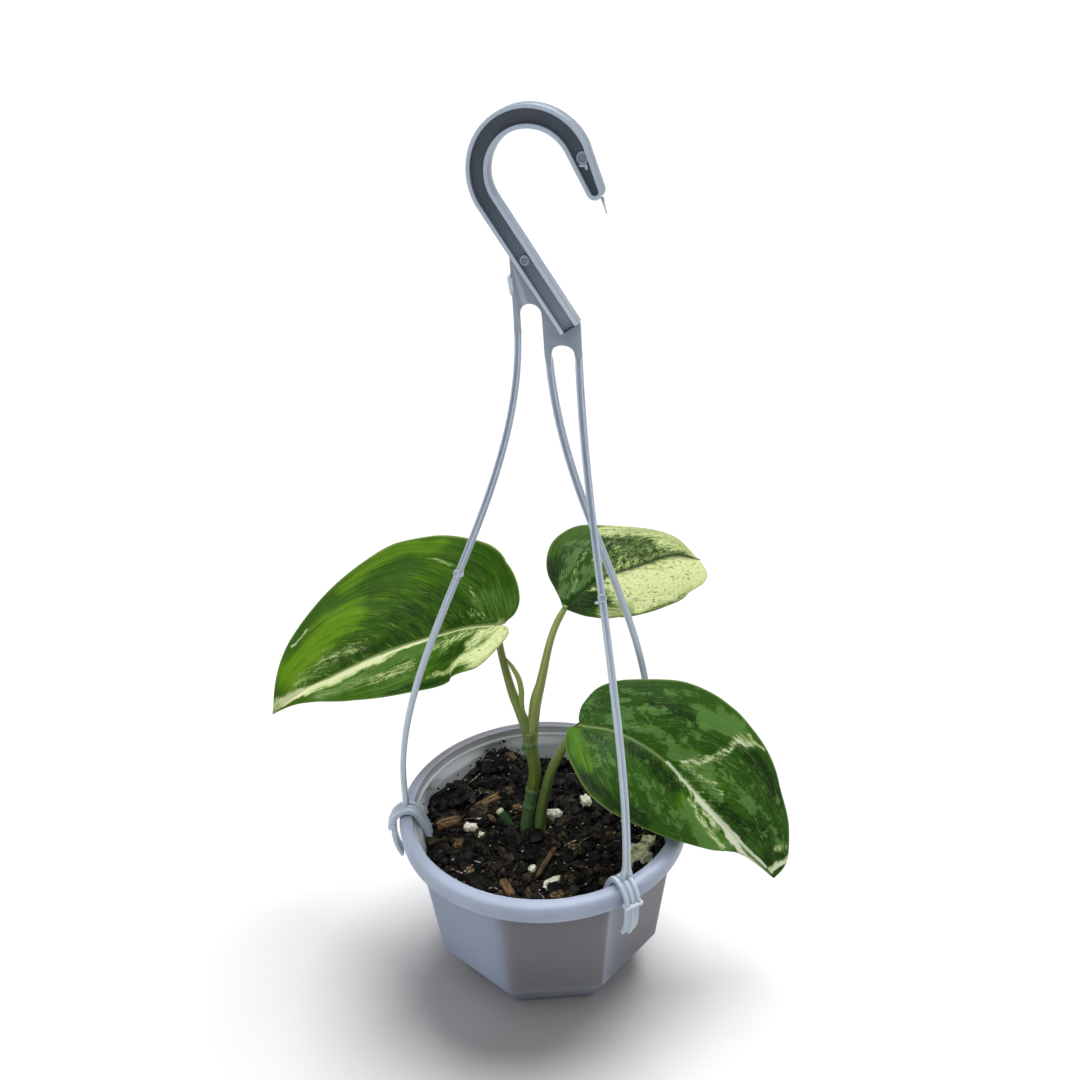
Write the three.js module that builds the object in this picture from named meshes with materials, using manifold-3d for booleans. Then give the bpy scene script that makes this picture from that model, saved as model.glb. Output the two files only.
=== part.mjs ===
// A young scindapsus with three variegated leaves in a small plastic hanging pot:
// a faceted pot with a round rim, and a moulded hanger (a flat hook, three strands and
// the clips) that snaps over the rim. Millimetres, +Z up, the pot stands on Z = 0 with its
// axis on Z, and one of its eight faces looks along -Y.
import * as THREE from 'three'
import { mergeVertices } from 'three/addons/utils/BufferGeometryUtils.js'
import Module from 'manifold-3d'

const wasm = await Module()
wasm.setup()

const degree = Math.PI / 180

// Pot
const potHeight = 73.2
const rimRadius = 60
const rimInnerRadius = 54.5
const lipHeight = 7.3
const lipThickness = 1.3
const wallThickness = 1
const wallHeights = [15, 50, 58]
const floorThickness = 2
const shoulderHeight = 15
const shoulderRadius = 48.6
const baseRadius = 38.6
const neckRadius = 55.4
const facets = 8
const stepsPerFacet = 5
const drainHoleRadius = 2.6
const drainHoleCircle = 25
const drainHoles = 8

// Soil
const soilLevel = 58.5
const fitGap = 0.3

// Hanger
const hookTurn = -19
const hookLean = 5
const hookOrigin = [7, -7, 270]
const hookDepth = 5
const webThickness = 2.4
const flangeWidth = 1.35
const hookCentre = [-3.6, 54.8]
const hookInnerRadius = 13.4
const hookOuterRadius = 20.6
const strandWidth = 2.7
const strandThickness = 2.3
const strandTop = 273.5
const strandStraight = 85.5
const clipRadius = 57
const clipWidth = 6.2
const clipThickness = 2.2
const clipLegRadius = 47.9
const clipLegEnd = 59
const clipAngles = { left: 180.4, front: -62, back: 31.2 }
const strandAngles = { left: 178.5, front: -60.4, back: 31.2 }

// Leaves
const bladeThickness = 0.8
const bladeSteps = 20
const bladeColumns = 4
const fanShare = 0.1

const material = (color, roughness) => new THREE.MeshStandardMaterial({ color, roughness, metalness: 0 })
const plastic = material(0xa9b4c6, 0.45)
const earth = material(0x2b211b, 0.95)
const stemGreen = material(0x6f8a3c, 0.5)
const leafGreen = material(0x3f6b22, 0.4)
const paleGreen = material(0xb9cf86, 0.4)
const barkBrown = material(0x8a5a2b, 0.9)
const perliteWhite = material(0xd8d5c4, 0.9)

const group = new THREE.Group()

function add(name, geometry, surface) {
  geometry.computeVertexNormals()
  const mesh = new THREE.Mesh(geometry, surface)
  mesh.name = name
  group.add(mesh)
  return mesh
}

// The same random numbers each time, from a seed
function seeded(seed) {
  let state = seed
  return () => {
    state = (state + 0x6d2b79f5) | 0
    let mixed = Math.imul(state ^ (state >>> 15), 1 | state)
    mixed = (mixed + Math.imul(mixed ^ (mixed >>> 7), 61 | mixed)) ^ mixed
    return ((mixed ^ (mixed >>> 14)) >>> 0) / 4294967296
  }
}

const vector = (x, y, z) => new THREE.Vector3(x, y, z)
const curveThrough = (points) => new THREE.CatmullRomCurve3(points.map((point) => vector(...point)))

function smoothStep(value) {
  const t = THREE.MathUtils.clamp(value, 0, 1)
  return t * t * (3 - 2 * t)
}

function toSolid(geometry) {
  const bare = geometry.index ? geometry.clone() : geometry
  bare.deleteAttribute('normal')
  bare.deleteAttribute('uv')
  const merged = mergeVertices(bare, 1e-4)
  return new wasm.Manifold(
    new wasm.Mesh({
      numProp: 3,
      vertProperties: new Float32Array(merged.attributes.position.array),
      triVerts: new Uint32Array(merged.index.array),
    })
  )
}

function toGeometry(solid) {
  const data = solid.getMesh()
  const geometry = new THREE.BufferGeometry()
  geometry.setAttribute('position', new THREE.BufferAttribute(new Float32Array(data.vertProperties), 3))
  geometry.setIndex(Array.from(data.triVerts))
  return geometry
}

function joined(geometries) {
  return geometries.map(toSolid).reduce((all, next) => all.add(next))
}

// A closed solid through rings of points, with a fan over each end
function skin(rings) {
  const count = rings[0].length
  const points = rings.flat()
  const first = points.length
  const centre = (ring) => {
    const sum = vector(0, 0, 0)
    for (const point of ring) sum.add(point)
    return sum.divideScalar(count)
  }
  points.push(centre(rings[0]), centre(rings[rings.length - 1]))
  const index = []
  for (let row = 0; row < rings.length - 1; row++) {
    for (let i = 0; i < count; i++) {
      const next = (i + 1) % count
      const a = row * count + i
      const b = row * count + next
      index.push(a, b, b + count, a, b + count, a + count)
    }
  }
  const last = (rings.length - 1) * count
  for (let i = 0; i < count; i++) {
    const next = (i + 1) % count
    index.push(first, next, i)
    index.push(first + 1, last + i, last + next)
  }
  const geometry = new THREE.BufferGeometry()
  geometry.setFromPoints(points)
  geometry.setIndex(index)
  return geometry
}

// A rod along a curve with rings at the given shares of its length
function rod(curve, stops, sides, radiusAt, flat = 1) {
  const reference = vector(1, 0, 0)
  const rings = stops.map((t) => {
    const along = curve.getTangentAt(t)
    const across = reference.clone().addScaledVector(along, -reference.dot(along)).normalize()
    const up = along.clone().cross(across)
    const ring = []
    for (let k = 0; k < sides; k++) {
      const angle = (k / sides) * 2 * Math.PI
      const point = curve.getPointAt(t).addScaledVector(across, radiusAt(t) * Math.cos(angle))
      ring.push(point.addScaledVector(up, radiusAt(t) * flat * Math.sin(angle)))
    }
    return ring
  })
  return skin(rings)
}

const evenly = (count) => Array.from({ length: count + 1 }, (_, i) => i / count)

// A pot ring: round at 0, eight-sided at 1
function potRing(z, radius, facetShare, steps = stepsPerFacet) {
  const ring = []
  const half = Math.PI / facets
  for (let i = 0; i < facets * steps; i++) {
    const angle = -Math.PI / 2 - half + (i / steps) * 2 * half
    const fromMiddle = ((i % steps) / steps) * 2 * half - half
    const flatRadius = (radius * Math.cos(half)) / Math.cos(fromMiddle)
    const r = THREE.MathUtils.lerp(radius, flatRadius, facetShare)
    ring.push(vector(r * Math.cos(angle), r * Math.sin(angle), z))
  }
  return ring
}

// Corner radius and facet share of the pot's outside at a height
function potOutside(z) {
  if (z < shoulderHeight) {
    return [THREE.MathUtils.lerp(baseRadius, shoulderRadius, z / shoulderHeight), 1]
  }
  const t = (z - shoulderHeight) / (potHeight - lipHeight - shoulderHeight)
  return [THREE.MathUtils.lerp(shoulderRadius, neckRadius, t), 1 - 0.12 * smoothStep((t - 0.68) / 0.32)]
}

function buildPot() {
  const lipBottom = potHeight - lipHeight
  const channelTop = lipBottom + 4.2
  const rings = [potRing(0, baseRadius - 0.6, 1)]
  for (const z of [1, ...wallHeights, lipBottom]) rings.push(potRing(z, ...potOutside(z)))
  rings.push(potRing(channelTop, neckRadius + 0.8, 0))
  rings.push(potRing(channelTop, rimRadius - 0.4 - lipThickness, 0))
  rings.push(potRing(lipBottom, rimRadius - 0.4 - lipThickness, 0))
  rings.push(potRing(lipBottom, rimRadius - 0.4, 0))
  rings.push(potRing(potHeight - 0.6, rimRadius, 0))
  rings.push(potRing(potHeight, rimRadius - 0.6, 0))
  rings.push(potRing(potHeight, rimInnerRadius + 0.4, 0))
  rings.push(potRing(potHeight - 0.8, rimInnerRadius, 0))
  rings.push(potRing(potHeight - 3, rimInnerRadius - 0.2, 0))
  rings.push(potRing(potHeight - 3.4, rimInnerRadius - 0.9, 0))
  rings.push(potRing(potHeight - 4.3, rimInnerRadius - 1.1, 0))
  rings.push(potInsideRing(potHeight - 7, wallThickness))
  for (const z of wallHeights.toReversed()) rings.push(potInsideRing(z, wallThickness))
  rings.push(potInsideRing(floorThickness, wallThickness))
  const pot = toSolid(skin(rings))
  const drill = []
  for (let i = 0; i < drainHoles; i++) {
    const hole = new THREE.CylinderGeometry(drainHoleRadius, drainHoleRadius, 8, 12)
    const angle = (i / drainHoles) * 2 * Math.PI
    hole.rotateX(Math.PI / 2)
    hole.translate(drainHoleCircle * Math.cos(angle), drainHoleCircle * Math.sin(angle), 0)
    drill.push(hole)
  }
  return pot.subtract(joined(drill))
}

function potInsideRing(z, inset, steps) {
  const [radius, share] = potOutside(z)
  return potRing(z, radius - inset, share, steps)
}

// Soil height over the pot's floor plan, heaped at the back left
function soilHeight(x, y) {
  const heap = (cx, cy, width, height) => {
    const distance = Math.hypot(x - cx, y - cy)
    return height * Math.exp(-((distance / width) ** 2))
  }
  const waves = 0.7 * Math.sin(x * 0.35 + 1.3) * Math.cos(y * 0.31) + 0.5 * Math.sin(x * 0.8 - y * 0.7)
  return soilLevel + waves + heap(-24, 43, 13, 7.5) + heap(-44, 24, 12, 5.5) + heap(10, 48, 10, -2.5)
}

// The soil fills the pot and carries crumbs; stems, lumps and clip legs have room cut for them
function buildSoil(cuts) {
  const steps = 3
  const heights = [floorThickness + fitGap, ...wallHeights.slice(0, -1)]
  const rings = heights.map((z) => potInsideRing(z, wallThickness + fitGap, steps))
  const edge = potInsideRing(soilLevel, wallThickness + 2 * fitGap, steps)
  for (const share of [1, 0.88, 0.74, 0.58, 0.4, 0.2]) {
    const flat = edge.map((point) => [point.x * share, point.y * share])
    rings.push(flat.map(([x, y]) => vector(x, y, soilHeight(x, y))))
  }
  const random = seeded(7)
  const crumbs = []
  for (let i = 0; i < 44; i++) {
    const distance = 47 * Math.sqrt(random())
    const angle = random() * 2 * Math.PI
    const size = 1.3 + 2.2 * random() ** 2
    const crumb = new THREE.IcosahedronGeometry(size, 0)
    crumb.scale(1 + 0.5 * random(), 1, 0.75)
    crumb.rotateX(random() * 3)
    crumb.rotateZ(random() * 3)
    const x = distance * Math.cos(angle)
    const y = distance * Math.sin(angle)
    crumb.translate(x, y, soilHeight(x, y))
    crumbs.push(crumb)
  }
  let soil = toSolid(skin(rings)).add(joined(crumbs))
  for (const cut of cuts) soil = soil.subtract(toSolid(cut))
  return soil.decompose().sort((a, b) => b.volume() - a.volume())[0]
}

// A strip of even thickness along a flat line, shifted to one side of it, as a shape
function ribbon(points, thickness, shift) {
  const curve = new THREE.SplineCurve(points.map(([x, y]) => new THREE.Vector2(x, y)))
  const steps = Math.round(points.length * 1.3)
  const edge = (side) => {
    const line = []
    for (let i = 0; i <= steps; i++) {
      const centre = curve.getPointAt(i / steps)
      const along = curve.getTangentAt(i / steps)
      const out = shift + (side * thickness) / 2
      line.push(new THREE.Vector2(centre.x + along.y * out, centre.y - along.x * out))
    }
    return line
  }
  return new THREE.Shape([...edge(1), ...edge(-1).reverse()])
}

function extruded(shape, from, to, curveSegments = 12) {
  const options = { depth: to - from, bevelEnabled: false, curveSegments }
  const geometry = new THREE.ExtrudeGeometry(shape, options)
  geometry.translate(0, 0, from)
  return geometry
}

// From the hook's own plane (X right, Y up, Z out of its front face) to the object
const hookMatrix = new THREE.Matrix4()
  .makeRotationZ(hookTurn * degree)
  .multiply(new THREE.Matrix4().makeRotationX((90 + hookLean) * degree))
  .setPosition(...hookOrigin)

// The hook's bar: an arc, a short straight leg to the tip and a long one to the strands
function hookBar(inset, tail) {
  const shape = new THREE.Shape()
  const [cx, cy] = hookCentre
  const inner = hookInnerRadius + inset
  const outer = hookOuterRadius - inset
  const at = (radius, angle) => {
    return [cx + radius * Math.cos(angle * degree), cy + radius * Math.sin(angle * degree)]
  }
  const legAngle = 213
  const tipAngle = 25
  const legDirection = [0.53, -0.848]
  const along = ([x, y], length) => [x + legDirection[0] * length, y + legDirection[1] * length]
  const tip = [17, 49.6]
  const tipRadius = 2.6 - inset
  shape.moveTo(...at(inner, tipAngle))
  shape.absarc(cx, cy, inner, tipAngle * degree, legAngle * degree, false)
  shape.lineTo(...along(at(inner, legAngle), 47.5 + tail))
  shape.lineTo(...along(at(outer, legAngle), 47.5 + tail))
  shape.lineTo(...at(outer, legAngle))
  shape.absarc(cx, cy, outer, legAngle * degree, tipAngle * degree, true)
  shape.absarc(tip[0], tip[1], tipRadius, 0.35, -Math.PI + 0.5, true)
  return shape
}

// The web under the hook, cut by two round-topped gaps into the roots of the strands
function hookWeb() {
  const shape = new THREE.Shape()
  shape.moveTo(-12.3, 29)
  shape.lineTo(-12.2, 9)
  shape.lineTo(-12.4, 2)
  shape.lineTo(-10.1, 2)
  shape.lineTo(-10.05, 9.2)
  shape.absarc(-6.25, 9.2, 3.8, Math.PI, 0, true)
  shape.lineTo(-2.3, 2)
  shape.lineTo(-2.4, -8)
  shape.lineTo(0.3, -8)
  shape.lineTo(0.35, -3.6)
  shape.absellipse(4.25, -3.6, 3.9, 2.6, Math.PI, 0, true)
  shape.lineTo(8.2, -8)
  shape.lineTo(10.8, -8)
  shape.lineTo(10.6, 6.8)
  shape.lineTo(-6, 32)
  return shape
}

function buildHook() {
  const front = 0
  const back = -hookDepth
  const webFront = -(hookDepth - webThickness) / 2
  const webBack = webFront - webThickness
  let bar = toSolid(extruded(hookBar(0, 0), back, front, 14))
  bar = bar.subtract(toSolid(extruded(hookBar(flangeWidth, 6), webFront, front + 1, 14)))
  bar = bar.subtract(toSolid(extruded(hookBar(flangeWidth, 6), back - 1, webBack, 14)))
  const web = toSolid(extruded(hookWeb(), webBack, webFront, 10))
  const ringMarks = [
    [14.1, 59.7, 2.2],
    [-6.8, 27.7, 1.6],
  ]
  const rings = ringMarks.map(([x, y, radius]) => {
    const ring = new THREE.CylinderGeometry(radius, radius, 0.8, 14)
    ring.rotateX(Math.PI / 2)
    ring.translate(x, y, webFront + 0.2)
    return toSolid(ring)
  })
  const gate = new THREE.OctahedronGeometry(1)
  gate.scale(1.3, 3.8, 1)
  gate.rotateZ(0.15)
  gate.translate(-12.1, 19, -hookDepth / 2)
  const thread = new THREE.ConeGeometry(0.5, 5, 5)
  thread.rotateZ(Math.PI + 0.3)
  thread.translate(19.6, 45.6, -hookDepth / 2)
  return [...rings, toSolid(gate), toSolid(thread)].reduce((all, next) => all.add(next), bar.add(web))
}

// A strand falls from the hook's web, swings out in an S and meets its clip upright
function strandCurve(rootX, rootY, clipAngle) {
  const root = vector(rootX, rootY, -hookDepth / 2).applyMatrix4(hookMatrix)
  const footX = clipRadius * Math.cos(clipAngle * degree)
  const footY = clipRadius * Math.sin(clipAngle * degree)
  const footZ = potHeight + 3
  const points = []
  const steps = 26
  for (let i = 0; i <= steps; i++) {
    const z = THREE.MathUtils.lerp(root.z, footZ, i / steps)
    const share = smoothStep((strandTop - z) / (strandTop - strandStraight))
    const x = THREE.MathUtils.lerp(root.x, footX, share)
    const y = THREE.MathUtils.lerp(root.y, footY, share)
    points.push([x, y, z])
  }
  return curveThrough(points)
}

function strand(curve, clipAngle) {
  const steps = 26
  const corners = [
    [1, 0.45],
    [0.45, 1],
    [-0.45, 1],
    [-1, 0.45],
    [-1, -0.45],
    [-0.45, -1],
    [0.45, -1],
    [1, -0.45],
  ]
  const rings = []
  for (let i = 0; i <= steps; i++) {
    const t = i / steps
    const centre = curve.getPointAt(t)
    const along = curve.getTangentAt(t)
    const endTurn = nearestTurn(clipAngle + 90, hookTurn)
    const turn = THREE.MathUtils.lerp(hookTurn, endTurn, smoothStep(t)) * degree
    const across = vector(Math.cos(turn), Math.sin(turn), 0)
    across.addScaledVector(along, -across.dot(along)).normalize()
    const out = along.clone().cross(across)
    const foot = 1 + 0.9 * smoothStep((t - 0.965) / 0.035)
    const ring = corners.map(([x, y]) => {
      const point = centre.clone()
      point.addScaledVector(across, (x * strandWidth * foot) / 2)
      return point.addScaledVector(out, (y * strandThickness) / 2)
    })
    rings.push(ring)
  }
  return skin(rings)
}

// The turn nearest to another, because a strand looks the same after half a turn
function nearestTurn(turn, other) {
  let nearest = turn
  while (nearest - other > 90) nearest -= 180
  while (nearest - other < -90) nearest += 180
  return nearest
}

// A clip: an arch over the rim that ends in a finger bar outside, with a leg inside and
// a tongue that hooks under the lip; three ribs run along the arch
function clip(angle) {
  const arch = [
    [63.2, 68.2],
    [62.8, 70.2],
    [61.6, 72.8],
    [59.4, 74.9],
    [56.8, 75.7],
    [54.2, 75],
    [52.2, 72.6],
    [50.6, 69.2],
    [49, 65],
    [clipLegRadius, clipLegEnd],
  ]
  const base = 1.4
  const band = ribbon(arch, base, (base - clipThickness) / 2)
  const pieces = [extruded(band, -clipWidth / 2, clipWidth / 2)]
  for (const [from, to] of [[-0.5, -0.34], [-0.09, 0.09], [0.34, 0.5]]) {
    pieces.push(extruded(ribbon(arch, clipThickness, 0), from * clipWidth, to * clipWidth))
  }
  const tongue = [[62.2, 68.4], [62.4, 62], [61.7, 57.4], [60.1, 53.2]]
  pieces.push(extruded(ribbon(tongue, 1.3, 0), -clipWidth / 2, clipWidth / 2))
  pieces.push(extruded(ribbon(tongue.map(([x, y]) => [x + 0.6, y + 0.6]), 1.3, 0), -0.7, 0.7))
  const bar = new THREE.BoxGeometry(3, 1.7, clipWidth + 1.4)
  bar.rotateZ(-0.2)
  bar.translate(63.2, 68.6, 0)
  pieces.push(bar)
  const turn = new THREE.Matrix4()
    .makeRotationZ(angle * degree)
    .multiply(new THREE.Matrix4().makeRotationX(Math.PI / 2))
  return joined(pieces).transform(turn.elements)
}

function buildHanger() {
  const roots = { left: [-11.5, 4.5], back: [-1.3, -5.5], front: [9.7, -5.5] }
  let hanger = buildHook().transform(hookMatrix.elements)
  for (const [name, angle] of Object.entries(strandAngles)) {
    const curve = strandCurve(...roots[name], angle)
    hanger = hanger.add(toSolid(strand(curve, angle))).add(clip(clipAngles[name]))
  }
  return hanger
}

// Room in the soil for the inner legs of the clips
function clipLegs() {
  return Object.values(clipAngles).map((angle) => {
    const leg = new THREE.BoxGeometry(8, clipWidth + 1, 12)
    leg.translate(clipLegRadius + 2, 0, clipLegEnd - 0.4 + 6)
    leg.rotateZ(angle * degree)
    return leg
  })
}

// Main stem: a short cane with swollen nodes, from below the soil to the fork
const stemCurve = curveThrough([
  [-8, 2, 44],
  [-7.6, 2, 59],
  [-6.1, 2, 69],
  [-4.4, 2, 78.7],
  [-3, 2, 87.8],
  [-3.7, 2, 96],
  [-4.4, 2, 103],
  [-4.6, 2, 108],
])
const stemNodes = [0.42, 0.545, 0.915]
const stemStops = [0, 0.15, 0.3, 0.48, 0.62, 0.72, 0.82, 0.96, 1]
for (const node of stemNodes) stemStops.push(node - 0.03, node - 0.012, node, node + 0.014, node + 0.03)
stemStops.sort((a, b) => a - b)

function stemRadius(t) {
  let radius = 2.6
  for (const node of stemNodes) radius += 0.35 * Math.exp(-(((t - node) / 0.012) ** 2))
  return radius
}

// Leaf stalks, from the fork or the soil to the base of each blade
const stalkCurves = {
  left: curveThrough([
    [-5, 2, 101],
    [-5.6, 3, 108],
    [-7.7, 5.4, 115],
    [-10.4, 9.4, 121.7],
    [-13, 14, 131.5],
    [-14.6, 17, 140],
    [-15.2, 18.4, 146.6],
  ]),
  upper: curveThrough([
    [-4, 2, 101],
    [-3.4, 3, 107.7],
    [-1.7, 5.5, 117.5],
    [1.6, 11, 127.6],
    [5.8, 19, 139.4],
    [9, 24.5, 144.6],
    [12.2, 28.5, 148],
  ]),
  lower: curveThrough([
    [-1.8, 1.2, 44],
    [-1.6, 1, 61],
    [-1.1, 1, 67],
    [0.3, 0.8, 75],
    [3.5, 0.5, 88.5],
    [8.2, -0.2, 99.4],
    [14.4, -1, 110.2],
  ]),
}

// The left stalk carries a torn strip of its sheath, the upper one a short sheath
function buildStem() {
  const cane = rod(stemCurve, stemStops, 12, stemRadius)
  const leftStalk = rod(stalkCurves.left, evenly(12), 10, (t) => 2.3 - 0.8 * smoothStep(t * 1.2))
  const upperStalk = rod(stalkCurves.upper, evenly(14), 10, (t) => 2.5 - 1.05 * smoothStep(t * 1.2))
  const stripCurve = curveThrough([
    [-6.6, 4, 111],
    [-7.2, 6, 119],
    [-7, 8, 124.4],
    [-7.8, 10, 128.6],
    [-10, 12.4, 132.5],
    [-13, 14.6, 136.5],
  ])
  const strip = rod(stripCurve, evenly(10), 8, () => 1.1, 0.7)
  const sheathCurve = curveThrough([[-3.6, 3.4, 110], [-2.4, 6.4, 119], [-0.1, 10.4, 127]])
  const sheath = rod(sheathCurve, evenly(5), 8, () => 1.5, 0.9)
  const scale = new THREE.OctahedronGeometry(1)
  scale.scale(0.9, 1, 1.6)
  scale.translate(-7.3, 1.6, 101)
  return joined([cane, leftStalk, upperStalk, strip, sheath, scale])
}

function buildStub(grown) {
  const curve = curveThrough([[-12.6, 2.6, 50], [-14, 3, 59], [-18.7, 5, 67]])
  return rod(curve, evenly(5), 10, () => 1.7 + grown)
}

// Leaves. Each blade is drawn flat, as the outline of its two halves (distance along the midrib,
// distance from it), and then bent: the midrib follows a curve in space and each half rises or
// falls from it at an angle and curls as it goes out.
const leaves = {
  left: {
    midrib: [
      [-15, 19, 149],
      [-27, 26, 144.5],
      [-42.5, 30, 138.5],
      [-61.5, 31.5, 132],
      [-79.5, 30.5, 125],
      [-98, 27, 117.5],
      [-110.5, 22, 111],
    ],
    far: { riseBase: 50, riseTip: 54, curl: -0.35 },
    near: { riseBase: -10, riseTip: 0, curl: -0.6 },
    farEdge: [
      [-3, 0.6], [-8, 4], [-9.5, 11], [-5, 21.5], [5, 32], [20, 43],
      [38, 46], [54, 41], [70, 33], [86, 22.5], [97, 11], [106.5, 0],
    ],
    nearEdge: [
      [-3, 0.6], [-7.5, 4], [-8.5, 10], [-3, 21.5], [7, 27.5], [20, 29.2],
      [36, 28.3], [53, 26], [72, 19.5], [87, 11], [98, 4], [106.5, 0],
    ],
  },
  upper: {
    midrib: [
      [12.5, 29, 149],
      [26.5, 37.5, 156.5],
      [43.5, 44, 158.5],
      [62, 49.5, 160.5],
      [73.5, 52.5, 156],
    ],
    far: { riseBase: 44, riseTip: 40, curl: -0.6 },
    near: { riseBase: -34, riseTip: -34, curl: -0.6 },
    farEdge: [
      [0.4, 0.5], [1.5, 3.5], [3.5, 9], [5.7, 14.7], [10, 20.2], [16.2, 25.2],
      [23, 26.3], [30, 23.6], [40, 19.9], [49, 15], [58.5, 8], [68, 0],
    ],
    nearEdge: [
      [0.4, 0.5], [1, 2], [2.2, 4.8], [5, 9.8], [11, 16.1], [22, 19.5],
      [32, 20.6], [41, 20.8], [51, 20.2], [63, 16.2], [71, 7.5], [68, 0],
    ],
  },
  lower: {
    midrib: [
      [16, -1, 112],
      [29, -6, 111.5],
      [44.5, -12, 104],
      [61, -19.5, 87.5],
      [76, -27, 69.5],
      [90, -33, 55],
    ],
    far: { riseBase: 40, riseTip: 38, curl: -0.5 },
    near: { riseBase: -12, riseTip: -20, curl: -0.6 },
    farEdge: [
      [-0.5, 0.5], [-1.5, 3.5], [-1, 9], [3, 15.5], [9, 20.3], [17, 25.5],
      [31, 34.5], [46, 39], [60, 38.3], [76, 33.5], [92, 24], [102.5, 9.5],
      [102.5, 0],
    ],
    nearEdge: [
      [-0.5, 0.5], [-3.5, 2], [-4.4, 5], [-3.3, 11], [1, 18.8], [9, 28],
      [22, 31.8], [34, 31], [46, 27.6], [60, 21], [74, 12], [85, 3],
      [102.5, 0],
    ],
  },
}

for (const leaf of Object.values(leaves)) {
  leaf.curve = curveThrough(leaf.midrib)
  leaf.length = leaf.curve.getLength()
}

// A point of the bent blade: distance along the midrib, distance out, and the half (1 far, -1 near)
function bladePoint(leaf, along, out, half) {
  const t = THREE.MathUtils.clamp(along / leaf.length, 0, 1)
  const point = leaf.curve.getPointAt(t)
  const tangent = leaf.curve.getTangentAt(t)
  point.addScaledVector(tangent, along - t * leaf.length)
  const side = vector(0, 0, 1).cross(tangent).normalize()
  if (side.y < 0) side.negate()
  const up = tangent.clone().cross(side)
  if (up.z < 0) up.negate()
  const form = half > 0 ? leaf.far : leaf.near
  const rise = THREE.MathUtils.lerp(form.riseBase, form.riseTip, t) * degree
  const curl = form.curl * degree
  const run = (Math.sin(rise + curl * out) - Math.sin(rise)) / curl
  const lift = (Math.cos(rise) - Math.cos(rise + curl * out)) / curl
  return point.addScaledVector(side, half * run).addScaledVector(up, lift)
}

function edgePoint(edge, t) {
  const curve = new THREE.SplineCurve(edge.map(([x, y]) => new THREE.Vector2(x, y)))
  return curve.getPoint(t)
}

// Rows run from the near edge over the midrib to the far edge, fanned out round the stalk
function bladeSurface(leaf) {
  const points = []
  const span = bladeColumns * 2 + 1
  for (let i = 0; i <= bladeSteps; i++) {
    const t = i / bladeSteps
    const far = edgePoint(leaf.farEdge, t)
    const near = edgePoint(leaf.nearEdge, t)
    const middle = leaf.length * (Math.max(0, t - fanShare) / (1 - fanShare)) ** 1.2
    for (let k = -bladeColumns; k <= bladeColumns; k++) {
      const share = Math.abs(k) / bladeColumns
      const edge = k > 0 ? far : near
      const along = THREE.MathUtils.lerp(middle, edge.x, share ** 1.25)
      points.push(bladePoint(leaf, along, edge.y * share, k > 0 ? 1 : -1))
    }
  }
  const index = []
  for (let i = 0; i < bladeSteps; i++) {
    for (let k = 0; k < span - 1; k++) {
      const a = i * span + k
      index.push(a, a + span, a + span + 1, a, a + span + 1, a + 1)
    }
  }
  const surface = new THREE.BufferGeometry().setFromPoints(points)
  surface.setIndex(index)
  return surface
}

// A thin solid from an open surface: the same triangles on both faces, joined round the edge
function thicken(open, thickness) {
  const surface = mergeVertices(open, 1e-3)
  const triangles = []
  for (let i = 0; i < surface.index.count; i += 3) {
    const corners = [0, 1, 2].map((n) => surface.index.getX(i + n))
    if (new Set(corners).size === 3) triangles.push(corners)
  }
  surface.setIndex(triangles.flat())
  surface.computeVertexNormals()
  const count = surface.attributes.position.count
  const points = []
  for (const side of [0.5, -0.5]) {
    for (let n = 0; n < count; n++) {
      const normal = vector().fromBufferAttribute(surface.attributes.normal, n)
      const point = vector().fromBufferAttribute(surface.attributes.position, n)
      points.push(point.addScaledVector(normal, side * thickness))
    }
  }
  const used = new Set(triangles.flatMap(([a, b, c]) => [`${a} ${b}`, `${b} ${c}`, `${c} ${a}`]))
  const index = []
  for (const [a, b, c] of triangles) {
    index.push(a, b, c, a + count, c + count, b + count)
    for (const [from, to] of [[a, b], [b, c], [c, a]]) {
      if (!used.has(`${to} ${from}`)) index.push(from, from + count, to + count, from, to + count, to)
    }
  }
  const solid = new THREE.BufferGeometry().setFromPoints(points)
  solid.setIndex(index)
  return solid
}

// Things that lie half sunk in the soil: bark, white grains and two yellowish stones.
// Each has a place, three half sizes and a turn about Z.
const lumps = {
  bark_strip: { at: [-21.3, 19.5, 59.8], size: [11.5, 2.6, 1.2], turn: 35, surface: barkBrown },
  bark_left: { at: [-40.5, 6.5, 59.8], size: [5.5, 3, 1.2], turn: 12, surface: barkBrown },
  bark_near: { at: [-36, -7, 59.4], size: [2.6, 2, 1.6], turn: 70, surface: barkBrown },
  bark_front: { at: [-17, -34, 59.2], size: [5.5, 1.9, 1.4], turn: 110, surface: barkBrown },
  bark_stick: { at: [-0.8, -23, 61], size: [9.5, 1, 0.9], turn: 62, surface: barkBrown },
  grain_block: { at: [4.9, 7, 60.8], size: [3.4, 2.4, 2.5], turn: 5, surface: perliteWhite },
  grain_left: { at: [-31, 3.2, 60.2], size: [3.2, 1.9, 1.7], turn: -15, surface: perliteWhite },
  grain_side: { at: [-26.3, 7.6, 60], size: [2.2, 1.6, 1.4], turn: 20, surface: perliteWhite },
  grain_near: { at: [-26.6, -1.6, 59.8], size: [1.5, 1.3, 1.3], turn: 70, surface: perliteWhite },
  grain_back: { at: [19, 15, 60.6], size: [3.2, 2.4, 2], turn: 100, surface: perliteWhite },
  grain_front: { at: [-6.4, -24, 60], size: [1.7, 1.4, 1.3], turn: 40, surface: perliteWhite },
  chip_front: { at: [0.8, -32.4, 60], size: [4, 2, 1.6], turn: 40, surface: perliteWhite },
  stone_big: { at: [37, -21.3, 60.8], size: [5, 4.6, 4.4], turn: 10, surface: paleGreen },
  stone_small: { at: [42, -13.6, 60], size: [3.6, 3, 2.8], turn: 50, surface: paleGreen },
}

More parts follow.
